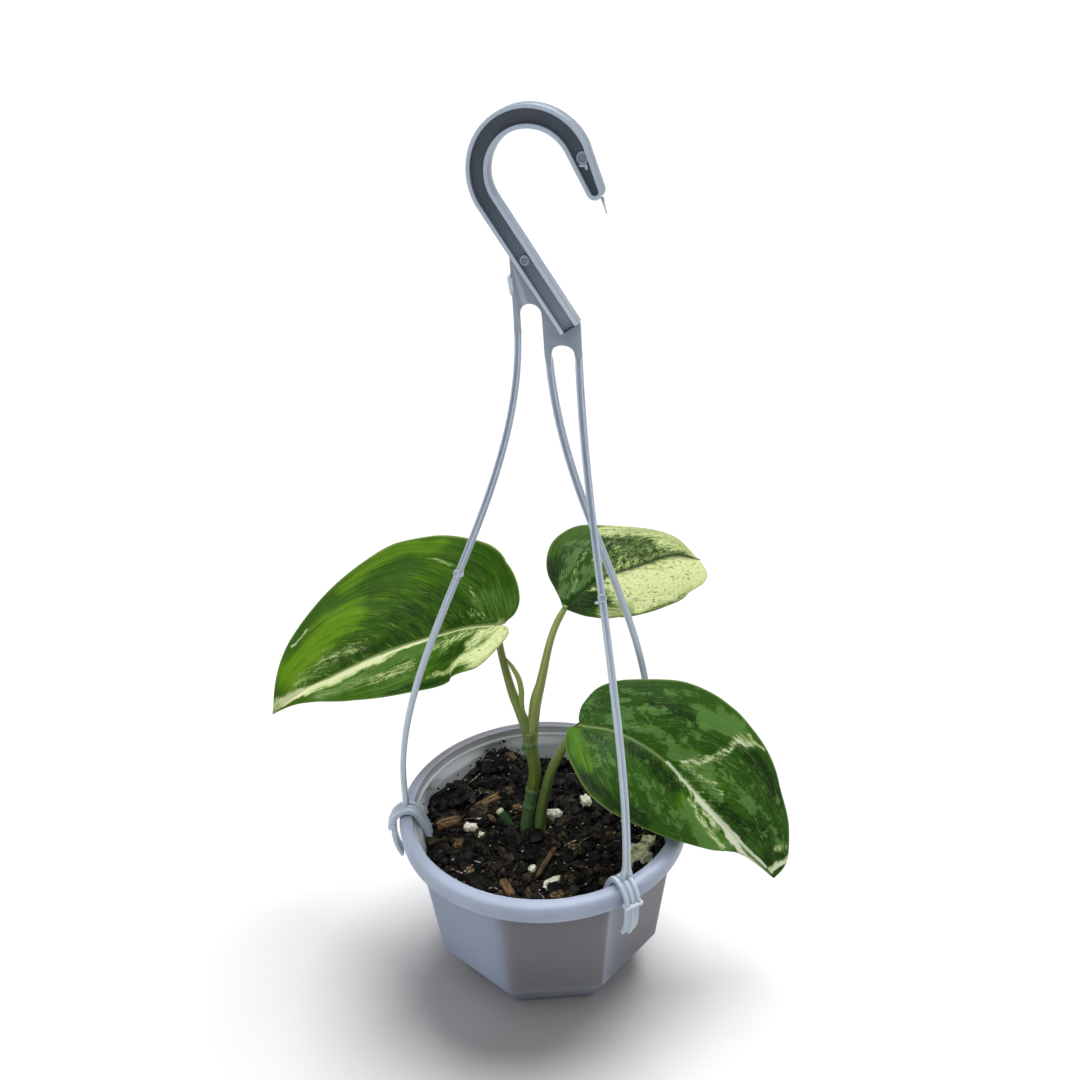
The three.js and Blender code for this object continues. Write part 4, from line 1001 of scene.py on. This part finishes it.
# leaves. Each is drawn flat as two half outlines (mm along the midrib, mm out) and then bent: far and near
# give how steeply each half rises at base and tip, in degrees, and how it curls, in degrees per mm. cream,
# white, grey, bright and deep are soft strokes, each a half width in mm, a strength, and then its points
# (along, out): the variegation, and in deep also painted shade along the midrib's channel. The greens are
# dark, plain, yellowish, grey and the fibres' own; the rib's width is given at base and tip, and a dark rib
# tone is painted shade; fibre and mottle say how strong these are, freckles how few, puff how far the tissue
# stands up between the veins, in mm
leaves = {
    "left": {
        "midrib": [(-15, 19, 149), (-27, 26, 144.5), (-42.5, 30, 138.5), (-61.5, 31.5, 132), (-79.5, 30.5, 125),
            (-98, 27, 117.5), (-110.5, 22, 111)],
        "farEdge": [(-3, 0.6), (-8, 4), (-9.5, 11), (-5, 21.5), (5, 32), (20, 43), (38, 46), (54, 41), (70, 33),
            (86, 22.5), (97, 11), (106.5, 0)],
        "nearEdge": [(-3, 0.6), (-7.5, 4), (-8.5, 10), (-3, 21.5), (7, 27.5), (20, 29.2), (36, 28.3), (53, 26),
            (72, 19.5), (87, 11), (98, 4), (106.5, 0)],
        "cream": [(5.6, 0.9, -5, -5, -3, -13, 2, -19), (4.4, 0.72, -2, -2, 5, -5, 7, -11),
            (3.6, 0.8, 0, -17, 8, -21, 14, -23), (1.5, 0.55, 14, -23.5, 30, -23), (4, 0.28, 60, -13, 84, -9),
            (4, 0.42, 12, -3, 22, -6, 30, -7), (2, 0.6, 50, -4, 62, -5, 76, -5.4, 90, -4),
            (2.6, 0.62, 86, -2, 96, 1, 104, 1.2), (1.6, 0.36, 8, 4, 14, 6.4), (1.0, 0.28, 10, 10, 13, 18),
            (1.4, 0.26, 20, 29, 28, 35), (4.2, 0.4, 40, -14, 58, -15.5), (4.6, 0.3, 60, 6, 78, 7, 92, 4)],
        "white": [(0.7, 0.8, 2, -0.6, 20, -0.9, 36, -1), (1.4, 0.9, 34, -1.2, 46, -1.7, 58, -2.4),
            (2.3, 1.0, 56, -2.5, 68, -3, 80, -2.8, 90, -1.2, 100, 0.8), (0.4, 0.66, 79, 23.2, 84, 21.9, 88, 20.4)],
        "grey": [(7.5, 0.62, -4, 8, 2, 12, 8, 8), (6.5, 0.8, 34, -6, 48, -8, 66, -11, 84, -8),
            (5, 0.55, 40, -17, 56, -19, 70, -15), (3, 0.6, 0, 3, 12, 4), (5, 0.45, 24, -12, 34, -18),
            (2.5, 0.4, 24, -24, 60, -24)],
        "bright": [(8, 0.36, 28, 26, 46, 22, 60, 20), (8, 0.9, 60, 22, 76, 16, 92, 9),
            (5, 0.62, 24, 40, 44, 42, 60, 34)],
        # deep: dark tissue, and near the midrib painted shade in its channel
        "deep": [(5, 0.6, 8, 3, 28, 5, 46, 5), (5, 0.55, 28, 15, 46, 12), (7, 0.45, 14, 8, 28, 18),
            (5, 0.9, 12, -14, 22, -15), (2.6, 0.9, 8, -27, 30, -28, 52, -25), (6, 0.5, 8, 20, 14, 28),
            (5, 0.45, -4, 18, 4, 28, 14, 36), (6, 0.4, 44, 24, 58, 28), (3, 0.6, 50, 4, 74, 3),
            (4, 0.4, 30, 38, 50, 36)],
        "far": (50, 54, -0.35), "near": (-10, 0, -0.6),
        "greens": ("#153406", "#2E5206", "#5C8606", "#426328", "#86A252"), "creams": ("#AEBB78", "#E0E6B8"),
        "whiteTone": "#C3C99E", "ribTone": "#B4C088", "ribDepth": 0.5, "ribWidth": (0.7, 0.3), "fibre": 0.72,
        "freckles": 0.545, "mottle": 0.35, "puff": 0.05, "seed": 1.0,
    },
    "upper": {
        "midrib": [(12.5, 29, 149), (26.5, 37.5, 156.5), (43.5, 44, 158.5), (62, 49.5, 160.5), (73.5, 52.5, 156)],
        "farEdge": [(0.4, 0.5), (1.5, 3.5), (3.5, 9), (5.7, 14.7), (10, 20.2), (16.2, 25.2), (23, 26.3), (30, 23.6),
            (40, 19.9), (49, 15), (58.5, 8), (68, 0)],
        "nearEdge": [(0.4, 0.5), (1, 2), (2.2, 4.8), (5, 9.8), (11, 16.1), (22, 19.5), (32, 20.6), (41, 20.8),
            (51, 20.2), (63, 16.2), (71, 7.5), (68, 0)],
        "cream": [(4, 0.62, 30, 20, 42, 18, 52, 12, 60, 6), (9, 0.27, 30, 9, 48, 9), (6, 0.62, 54, 7, 66, 1.5),
            (12, 0.95, 30, -8, 46, -10, 60, -9, 69, -5), (3, 0.9, 30, -17, 48, -18), (4, 0.55, 10, -13, 22, -17),
            (1.4, 0.6, 14, -2.6, 26, -5), (3, 0.42, 24, 8, 28, 20), (1.2, 0.34, 8, 3, 16, 8, 22, 14)],
        "white": [],
        "grey": [(4, 0.6, 5, 4, 12, 10, 20, 18), (3.5, 0.7, 10, 2.5, 26, 6), (9, 0.35, 30, 8, 48, 8)],
        "bright": [(5, 0.6, 14, 21, 24, 24), (4, 0.5, 38, 13, 50, 11)],
        # deep: dark tissue; the last stroke is painted shade in the folded midrib's channel
        "deep": [(6, 1.0, 3, 7, 8, 15, 14, 21), (5, 0.6, 14, 16, 22, 22), (4.5, 0.8, 28, 13, 38, 14, 50, 11),
            (3, 0.6, 30, 4, 44, 4), (4, 1.0, 3, -2.5, 12, -5.5, 22, -8), (1.1, 1.0, 26, 0.3, 60, 0)],
        "far": (44, 40, -0.6), "near": (-34, -34, -0.6),
        "greens": ("#112A09", "#244508", "#3F640A", "#4E6C3A", "#8BA566"), "creams": ("#B7C47C", "#E4E8B6"),
        # the dark rib tone is painted shade in the folded midrib's channel
        "whiteTone": "#C3C99E", "ribTone": "#1B3410", "ribDepth": 0.95, "ribWidth": (0.5, 1.7), "fibre": 0.8,
        "freckles": 0.53, "mottle": 0.7, "puff": 0.02, "seed": 5.0,
    },
    "lower": {
        "midrib": [(16, -1, 112), (29, -6, 111.5), (44.5, -12, 104), (61, -19.5, 87.5), (76, -27, 69.5), (90, -33, 55)],
        "farEdge": [(-0.5, 0.5), (-1.5, 3.5), (-1, 9), (3, 15.5), (9, 20.3), (17, 25.5), (31, 34.5), (46, 39),
            (60, 38.3), (76, 33.5), (92, 24), (102.5, 9.5), (102.5, 0)],
        "nearEdge": [(-0.5, 0.5), (-3.5, 2), (-4.4, 5), (-3.3, 11), (1, 18.8), (9, 28), (22, 31.8), (34, 31),
            (46, 27.6), (60, 21), (74, 12), (85, 3), (102.5, 0)],
        "cream": [(1.0, 0.56, 43, 4, 48, 9, 51, 16, 54, 24, 57, 30, 60, 35),
            (3.2, 0.36, 48, 11, 53, 19, 55, 27, 59, 34), (0.9, 0.6, 58, 35.5, 66, 35), (1.8, 0.5, 56, -2.6, 72, -3.4),
            (1.3, 0.7, 100, 1.5, 103, 11), (1.8, 0.5, 54, -5, 64, -7, 76, -7), (3.2, 0.38, 46, 0, 60, -1.5, 82, -1),
            (2.2, 0.34, 43, 3.5, 54, 7, 62, 8), (1.4, 0.45, 96, 9, 99, 13)],
        "white": [(0.75, 0.9, 38, 0.3, 50, -0.1, 58, -1), (1.8, 0.8, 56, -0.9, 64, -0.9, 72, -0.4, 80, 0.3),
            (0.8, 0.7, 78, 0.8, 86, 0.6, 98, 0.9), (1.4, 0.8, 76, -1.6, 88, -2.4, 100, -1.4),
            (0.9, 0.9, 101, 1, 103, 10), (0.5, 0.7, 54, 22, 57, 28, 59.5, 33), (0.4, 0.6, 45, 6, 50, 12, 52, 18)],
        "grey": [(6, 1.0, 40, 26, 46, 30, 52, 33), (3.6, 0.75, 10, 4, 24, 7, 34, 8), (4.5, 0.85, 38, 5, 50, 8, 60, 6),
            (4, 0.6, 50, 13, 64, 14, 76, 14), (3, 0.6, 14, 9, 26, 15), (3, 0.55, 12, -15, 18, -18),
            (5, 0.5, 32, -14, 52, -18), (3, 0.45, 70, 22, 84, 24), (4.6, 0.95, 56, -8, 70, -11, 78, -7),
            (4, 0.4, 4, 10, 12, 18), (3, 0.5, 26, 26, 34, 32), (2.4, 0.5, 90, 14, 98, 10),
            (13, 0.36, 4, 8, 30, 14, 60, 18, 90, 12), (10, 0.36, 4, -8, 30, -16, 60, -12)],
        "bright": [(4, 0.75, -2, -4, 3, -12, 8, -18), (5, 0.7, 54, -7, 70, -10, 76, -7), (4, 0.5, 40, 8, 60, 11)],
        "deep": [(4.5, 0.9, 24, 16, 36, 22), (5, 0.85, 62, 28, 74, 29, 84, 24), (7, 0.75, 82, 8, 92, 12, 97, 6),
            (3, 0.8, 62, 4, 78, 6), (4, 0.8, 24, -4, 46, -6), (4, 0.85, 8, -24, 24, -29, 44, -26),
            (3, 0.7, 4, -4, 12, -8), (3, 0.5, 2, 6, 8, 14), (12, 0.42, 6, 12, 40, 20, 70, 24, 92, 12),
            (9, 0.36, 4, -14, 30, -22, 60, -14)],
        "far": (40, 38, -0.5), "near": (-12, -20, -0.6),
        "greens": ("#10260A", "#284B0E", "#467008", "#496E32", "#86A264"), "creams": ("#A3B386", "#D3DABF"),
        "whiteTone": "#BCC4AC", "ribTone": "#8FA66C", "ribDepth": 0.5, "ribWidth": (0.7, 0.3), "fibre": 0.5,
        "freckles": 0.6, "mottle": 1.0, "puff": 0.06, "seed": 9.0,
    },
}
# for all three: rows of the mesh along, columns across each half, thickness in mm, the share of the rows that
# fan out at the base, how far the side veins sweep forward, and how many there are; then the colours
blade = {
    "rows": 170, "columns": 48, "thickness": 0.5, "fan": 0.1, "sweep": 0.32, "veins": 8,
    "creamEdge": "#8CA25C", "creamFibre": "#93A35C", "marginTone": "#7E9654", "underTones": ("#6F8A55", "#BFC99A"),
}

# the noise that tears the strokes, along the side veins or on the flat: scales, detail, roughness, warp.
# Fine streaks are 0.7 mm apart, broad ones 3 mm; patches are 2 to 5 mm
leafPatterns = {
    "streak": ("vein", (150.0, 7.0, 1.0), 6.0, 0.7, 0.0),
    "broad": ("vein", (30.0, 4.5, 1.0), 6.0, 0.66, 0.4),
    "patch": ("vein", (24.0, 6.0, 1.0), 7.0, 0.74, 0.5),
    "camouflage": ("vein", (36.0, 11.0, 1.0), 7.0, 0.72, 0.7),
    "torn": ("vein", (80.0, 15.0, 1.0), 8.0, 0.8, 0.3),
    "fleck": ("flat", (0.8, 1.1, 1.0), 8.0, 0.82, 0.0),
    "net": ("flat", (0.32, 0.42, 1.0), 4.0, 0.6, 0.8),
    "grain": ("flat", (0.62, 1.0, 1.0), 4.0, 0.7, 0.0),
    "blotch": ("flat", (0.17, 0.24, 1.0), 9.0, 0.75, 0.5),
}


def bladePoints(leaf, along, out):
    # bends the flat leaf: along the midrib's curve, and each half round its own arc
    centre, slope = alongCurve(leaf["curve"], along)
    side = unit(np.cross([0, 0, 1.0], slope))
    side = np.where(side[..., 1:2] < 0, -side, side)
    up = np.cross(slope, side)
    up = np.where(up[..., 2:3] < 0, -up, up)
    isFar = out >= 0
    base, tip, curl = [np.where(isFar, far, near) for far, near in zip(leaf["far"], leaf["near"])]
    rise = np.radians(blend(base, tip, np.clip(along / leaf["curve"][1][-1], 0, 1)))
    curl = np.radians(curl)
    end = rise + curl * np.abs(out)
    run = np.where(isFar, 1.0, -1.0) * (np.sin(end) - np.sin(rise)) / curl
    return centre + side * run[..., None] + up * ((np.cos(rise) - np.cos(end)) / curl)[..., None]


def strokeField(strokes, along, out):
    # full strength on a stroke, falling to 0 at its edge
    field = np.zeros_like(along)
    for width, strength, *flat in strokes:
        points = list(zip(flat[::2], flat[1::2]))
        nearest = np.full_like(along, 1e9)
        for (ax, ay), (bx, by) in zip(points, points[1:]):
            dx, dy = bx - ax, by - ay
            t = np.clip(((along - ax) * dx + (out - ay) * dy) / (dx * dx + dy * dy), 0, 1)
            nearest = np.minimum(nearest, np.hypot(along - ax - t * dx, out - ay - t * dy))
        field = np.maximum(field, strength * np.clip(1.35 - nearest / width, 0, 1))
    return field


def variegatedLeaf(name, leaf):
    # living leaf skin, waxy: cream and grey-green tissue in streaks along the side veins
    material, add, finish = newMaterial(name)
    dark, plain, yellow, greyGreen, fibreTone = leaf["greens"]
    mottle, fibre, freckles = leaf["mottle"], leaf["fibre"], leaf["freckles"]
    spaces = {key: add("Attribute", attribute_name=key, output="Vector") for key in ("vein", "flat")}
    cream, white, grey, bright, deep, under, rib, margin = [
        add("Attribute", attribute_name=key, output="Fac")
        for key in ("cream", "white", "grey", "bright", "deep", "under", "rib", "margin")]
    noises = {}
    for key, (space, scale, detail, roughness, warp) in leafPatterns.items():
        place = add("Mapping", {"Vector": spaces[space], "Scale": scale})
        noises[key] = add("TexNoise", {"Vector": place, "Scale": 1.0, "Detail": detail, "Roughness": roughness,
                                       "Distortion": warp})
    streak, broad, patch, camouflage, torn, fleck, net, grain, blotch = noises.values()
    # a strongly mottled leaf is torn in blotches, the others along the veins
    tears = (blotch, blotch) if mottle > 0.6 else (broad, patch)

    def swayed(base, first, firstAmount, second, secondAmount, low, high):
        # a soft stroke with a torn, flecked edge
        for pattern, amount in ((first, firstAmount), (second, secondAmount)):
            sway = add("MapRange", [pattern, 0.3, 0.7, -amount, amount], clamp=False)
            base = add("Math", [base, sway], operation="ADD")
        return add("MapRange", [base, low, high], interpolation_type="SMOOTHSTEP")

    # cream tissue: solid in the middle of a stroke, lace and flecks at its edge, dark freckles in it;
    # fibres run through the green
    half = swayed(cream, patch, 0.3, torn, 0.5, 0.32, 0.56)
    full = swayed(cream, patch, 0.3, torn, 0.5, 0.48, 0.78)
    fromLine = add("Math", [add("Math", [net, 0.5], operation="SUBTRACT")], operation="ABSOLUTE")
    lace = add("Math", [add("MapRange", [fromLine, 0.0, 0.022, 0.85, 0.0]), add("MapRange", [cream, 0.2, 0.42])],
               operation="MULTIPLY")
    freckle = add("Math", [add("MapRange", [grain, freckles, freckles + 0.04, 0.0, 0.85]),
                           add("MapRange", [net, 0.46, 0.56])], operation="MULTIPLY")
    paleFibre = add("Math", [add("MapRange", [streak, 0.51, 0.66, 0.0, 0.6 * fibre]),
                             add("MapRange", [patch, 0.42, 0.58, 0.1, 1.0])], operation="MULTIPLY")
    creamTone = add("Mix", [add("MapRange", [fleck, 0.3, 0.7]), *leaf["creams"]])
    creamTone = add("Mix", [add("MapRange", [streak, 0.52, 0.3, 0.0, 0.4]), creamTone, blade["creamFibre"]])
    # from the plain green up: what share of which colour comes over what is there
    layers = [
        # deep is dark tissue and, along the midrib, painted shade
        (swayed(deep, tears[0], 0.42, camouflage, 0.2 + 0.35 * mottle, 0.05, 0.95), dark),
        (swayed(bright, broad, 0.4, streak, 0.12, 0.2, 1.0), yellow),
        (swayed(grey, tears[1], 0.55, camouflage, 0.25 + 0.1 * mottle, 0.42, 0.62), greyGreen),
        (paleFibre, fibreTone),
        (add("MapRange", [streak, 0.48, 0.34, 0.0, 0.55 * fibre]), dark),
        (half, blade["creamEdge"]),
        (add("Math", [full, lace], operation="MAXIMUM"), creamTone),
        (add("Math", [freckle, full], operation="MULTIPLY"), greyGreen),
        (swayed(white, streak, 0.14, torn, 0.26, 0.22, 0.72), leaf["whiteTone"]),
        # the rib's tone: pale on the left and lower leaves, painted shade on the upper one
        (rib, leaf["ribTone"]),
        (margin, blade["marginTone"]),
        (under, add("Mix", [half, *blade["underTones"]])),
    ]
    colour = plain
    for share, tone in layers:
        colour = add("Mix", [share, colour, tone])
    # the waxy upper side is glossier than the underside
    rough = add("Math", [under, 0.2, add("MapRange", [fleck, 0.3, 0.7, 0.36, 0.48])], operation="MULTIPLY_ADD")
    height = add("Math", [streak, broad], operation="ADD")
    finish({"Base Color": colour, "Roughness": rough, "IOR": 1.42, "Specular IOR Level": 0.1,
            "Normal": add("Bump", {"Height": height, "Strength": 0.25, "Distance": 0.0004})})
    return material


def outlineRows(points, rows):
    # a smooth line through an outline's points, in even steps
    points = np.array(points, float)
    last, line = len(points) - 1, []
    for place in np.linspace(0, 1, rows + 1) * last:
        i = min(int(place), last - 1)
        a, b, c, d = points[max(i - 1, 0)], points[i], points[i + 1], points[min(i + 2, last)]
        line.append(cubic(b, c, (c - a) / 2, (d - b) / 2, place - i))
    return np.array(line)


def buildLeaf(name, leaf):
    rows, columns, seed = blade["rows"], blade["columns"], leaf["seed"]
    leaf["curve"] = curveThrough(leaf["midrib"])
    length = leaf["curve"][1][-1]
    t = np.linspace(0, 1, rows + 1)[:, None]
    k = np.arange(-columns, columns + 1)
    share = np.abs(k) / columns
    middle = length * (np.maximum(0, t - blade["fan"]) / (1 - blade["fan"])) ** 1.2
    far, near = [outlineRows(leaf[key], rows)[:, None] for key in ("farEdge", "nearEdge")]
    edge = np.where((k > 0)[None, :, None], far, near)
    along = blend(middle, edge[..., 0], share ** 1.25)
    out = edge[..., 1] * share * np.sign(k)
    surface = bladePoints(leaf, along, out)
    # relief: side veins sunk a little, tissue puffed between them, midrib channel, slow ripples
    fromBase = t + blade["sweep"] * np.log(1 - 0.93 * share)
    phase = fromBase * blade["veins"]
    fromVein = np.abs(phase - np.round(phase)) / blade["veins"]
    fade = np.clip(share * 4, 0, 1) * np.clip((1 - share) * 3, 0, 1)
    relief = fade * leaf["puff"] * (np.cos(phase * fullTurn + math.pi) - np.exp(-(fromVein / 0.006) ** 2))
    relief = relief - 0.55 * np.exp(-(out / 1.1) ** 2) * np.clip(1 - middle / length, 0.25, 1)
    ripple = bumpy(surface.reshape(-1, 3), 16, 2, seed).reshape(out.shape)
    relief = relief + 0.5 * ripple * np.clip(share * 2, 0, 1)
    normal = np.cross(np.gradient(surface, axis=0), np.gradient(surface, axis=1))
    size = np.linalg.norm(normal, axis=-1, keepdims=True)
    normal = normal / np.maximum(size, 1e-6)
    # rows meet in one point at the base: there the first good direction serves
    normal = np.where(size < 1e-4, normal[int(rows * blade["fan"]) + 4, columns], normal)
    if normal[rows // 2, columns + columns // 2, 2] < 0:
        normal = -normal
    surface = surface + normal * relief[..., None]
    # the blade thins to its margin; the midrib stands out underneath
    thick = blade["thickness"] * (1 - 0.55 * share ** 6)[None, :]
    keel = np.exp(-out ** 2) * np.clip(1.1 - middle / length, 0.1, 1)
    topSide = surface + normal * (thick / 2)[..., None]
    underSide = surface - normal * (thick / 2 + keel)[..., None]
    span = 2 * columns + 1
    count = (rows + 1) * span
    points = np.vstack([topSide.reshape(-1, 3), underSide.reshape(-1, 3)])
    faces = []
    for a in (i * span + j for i in range(rows) for j in range(span - 1)):
        b = a + count
        faces += [[a, a + 1, a + span + 1, a + span], [b, b + span, b + span + 1, b + 1]]
    border = [*range(span), *(i * span + span - 1 for i in range(1, rows + 1)),
              *(rows * span + j for j in range(span - 2, -1, -1)), *(i * span for i in range(rows - 1, 0, -1))]
    faces += [[a, a + count, b + count, b] for a, b in zip(border, border[1:] + border[:1])]
    # strokes are swayed a little, so that no edge is drawn straight
    spots = np.stack([along.ravel(), out.ravel(), np.zeros(out.size)], -1)
    swayAlong, swayOut = [(1.7 * bumpy(spots, 7, 4, seed + n)).reshape(out.shape) for n in (3, 8)]
    swayOut = swayOut * np.clip(np.abs(out) / 5, 0.15, 1)
    fields = {key: strokeField(leaf[key], along + swayAlong, out + swayOut)
              for key in ("cream", "white", "grey", "bright", "deep")}
    fields["margin"] = 0.7 * smoothStep((share - 0.975) / 0.02)
    ribShare = np.clip(middle / length, 0, 1)
    ribWidth = blend(*leaf["ribWidth"], ribShare) * np.clip((1 - ribShare) * 8, 0.05, 1)
    fields["rib"] = leaf["ribDepth"] * np.exp(-(out / ribWidth) ** 2)
    both = {key: np.tile(np.broadcast_to(field, out.shape).ravel(), 2) for key, field in
            {**fields, "fromBase": fromBase, "signed": share * np.sign(k), "along": along, "out": out}.items()}
    for key, first, second in (("vein", "fromBase", "signed"), ("flat", "along", "out")):
        both[key] = np.stack([both.pop(first), both.pop(second), np.full(2 * count, seed)], -1)
    both["under"] = np.repeat([0.0, 1.0], count)
    material = variegatedLeaf("variegatedLeaf" + name.capitalize(), leaf)
    piece = makePiece("leaf_" + name + "_blade", points, faces, material, both, weld=0.02)
    settle(piece, "leaf_" + name)


for leafName, leafForm in leaves.items():
    buildLeaf(leafName, leafForm)
    print("leaf built:", leafName)

# floor and light: white sweep, a big soft light behind and above, so that the shadow comes forward.
# The light above is kept off the floor, so that the pot's own shadow stays deep; the wash is for the
# far end of the sweep only
stage = {
    "width": 9000,
    "floor": (-9000, 4500),
    "backdrop": (4500, 9000),
    "rise": 0.00004,
    "steps": 90,
    "lights": {
        "behind": {"from": (0.36, 0.56, 1.4), "softness": 44, "power": 3.2},
        "above": {"from": (-0.3, -0.46, 1.0), "softness": 34, "power": 1.6},
        "wash": {"from": (0.0, -0.6, 0.8), "softness": 20, "power": 2.4},
    },
    "sky": ("#FFFCF9", 0.235),
}


def studioPaint():
    # matt white wall paint, with broad faint unevenness
    material, add, finish = newMaterial("paintedStudioFloor")
    mottle = add("TexNoise", {"Vector": add("TexCoord", output="Object"), "Scale": 6.0, "Detail": 2.0})
    finish({"Base Color": add("ValToRGB", [mottle], stops=[(0.3, "#F8F8F8"), (0.7, "#FBFBFB")]), "Roughness": 0.9})
    return material


def stageSheet(name, material):
    low, high = stage[name]
    width, count = stage["width"], stage["steps"]
    x, y = np.meshgrid(np.linspace(-width, width, count), np.linspace(low, high, count), indexing="ij")
    rise = stage["rise"] * np.clip(y - stage["backdrop"][0], 0, None) ** 2
    points = np.stack([x, y, rise - 0.05], -1).reshape(-1, 3)
    faces = [[i * count + j, (i + 1) * count + j, (i + 1) * count + j + 1, i * count + j + 1]
             for i in range(count - 1) for j in range(count - 1)]
    sheet = makePiece(name, points, faces, material, outward=False)
    sheet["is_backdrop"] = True
    return sheet


def buildLights(backdrop):
    only = {"above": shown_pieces(), "wash": [backdrop]}
    for name, form in stage["lights"].items():
        data = bpy.data.lights.new(name, "SUN")
        data.angle, data.energy = math.radians(form["softness"]), form["power"]
        lamp = bpy.data.objects.new(name, data)
        scene.collection.objects.link(lamp)
        lamp.matrix_world = Vector(form["from"]).to_track_quat("Z", "Y").to_matrix().to_4x4()
        if name in only:
            lit = bpy.data.collections.new("lit" + name.capitalize())
            for piece in only[name]:
                lit.objects.link(piece)
            lamp.light_linking.receiver_collection = lit
    world = bpy.data.worlds.new("studio")
    scene.world = world
    world.use_nodes = True
    colour, strength = stage["sky"]
    setSockets(world.node_tree, world.node_tree.nodes["Background"], {"Color": colour, "Strength": strength})


paint = studioPaint()
stageSheet("floor", paint)
buildLights(stageSheet("backdrop", paint))
print("stage and lights set")
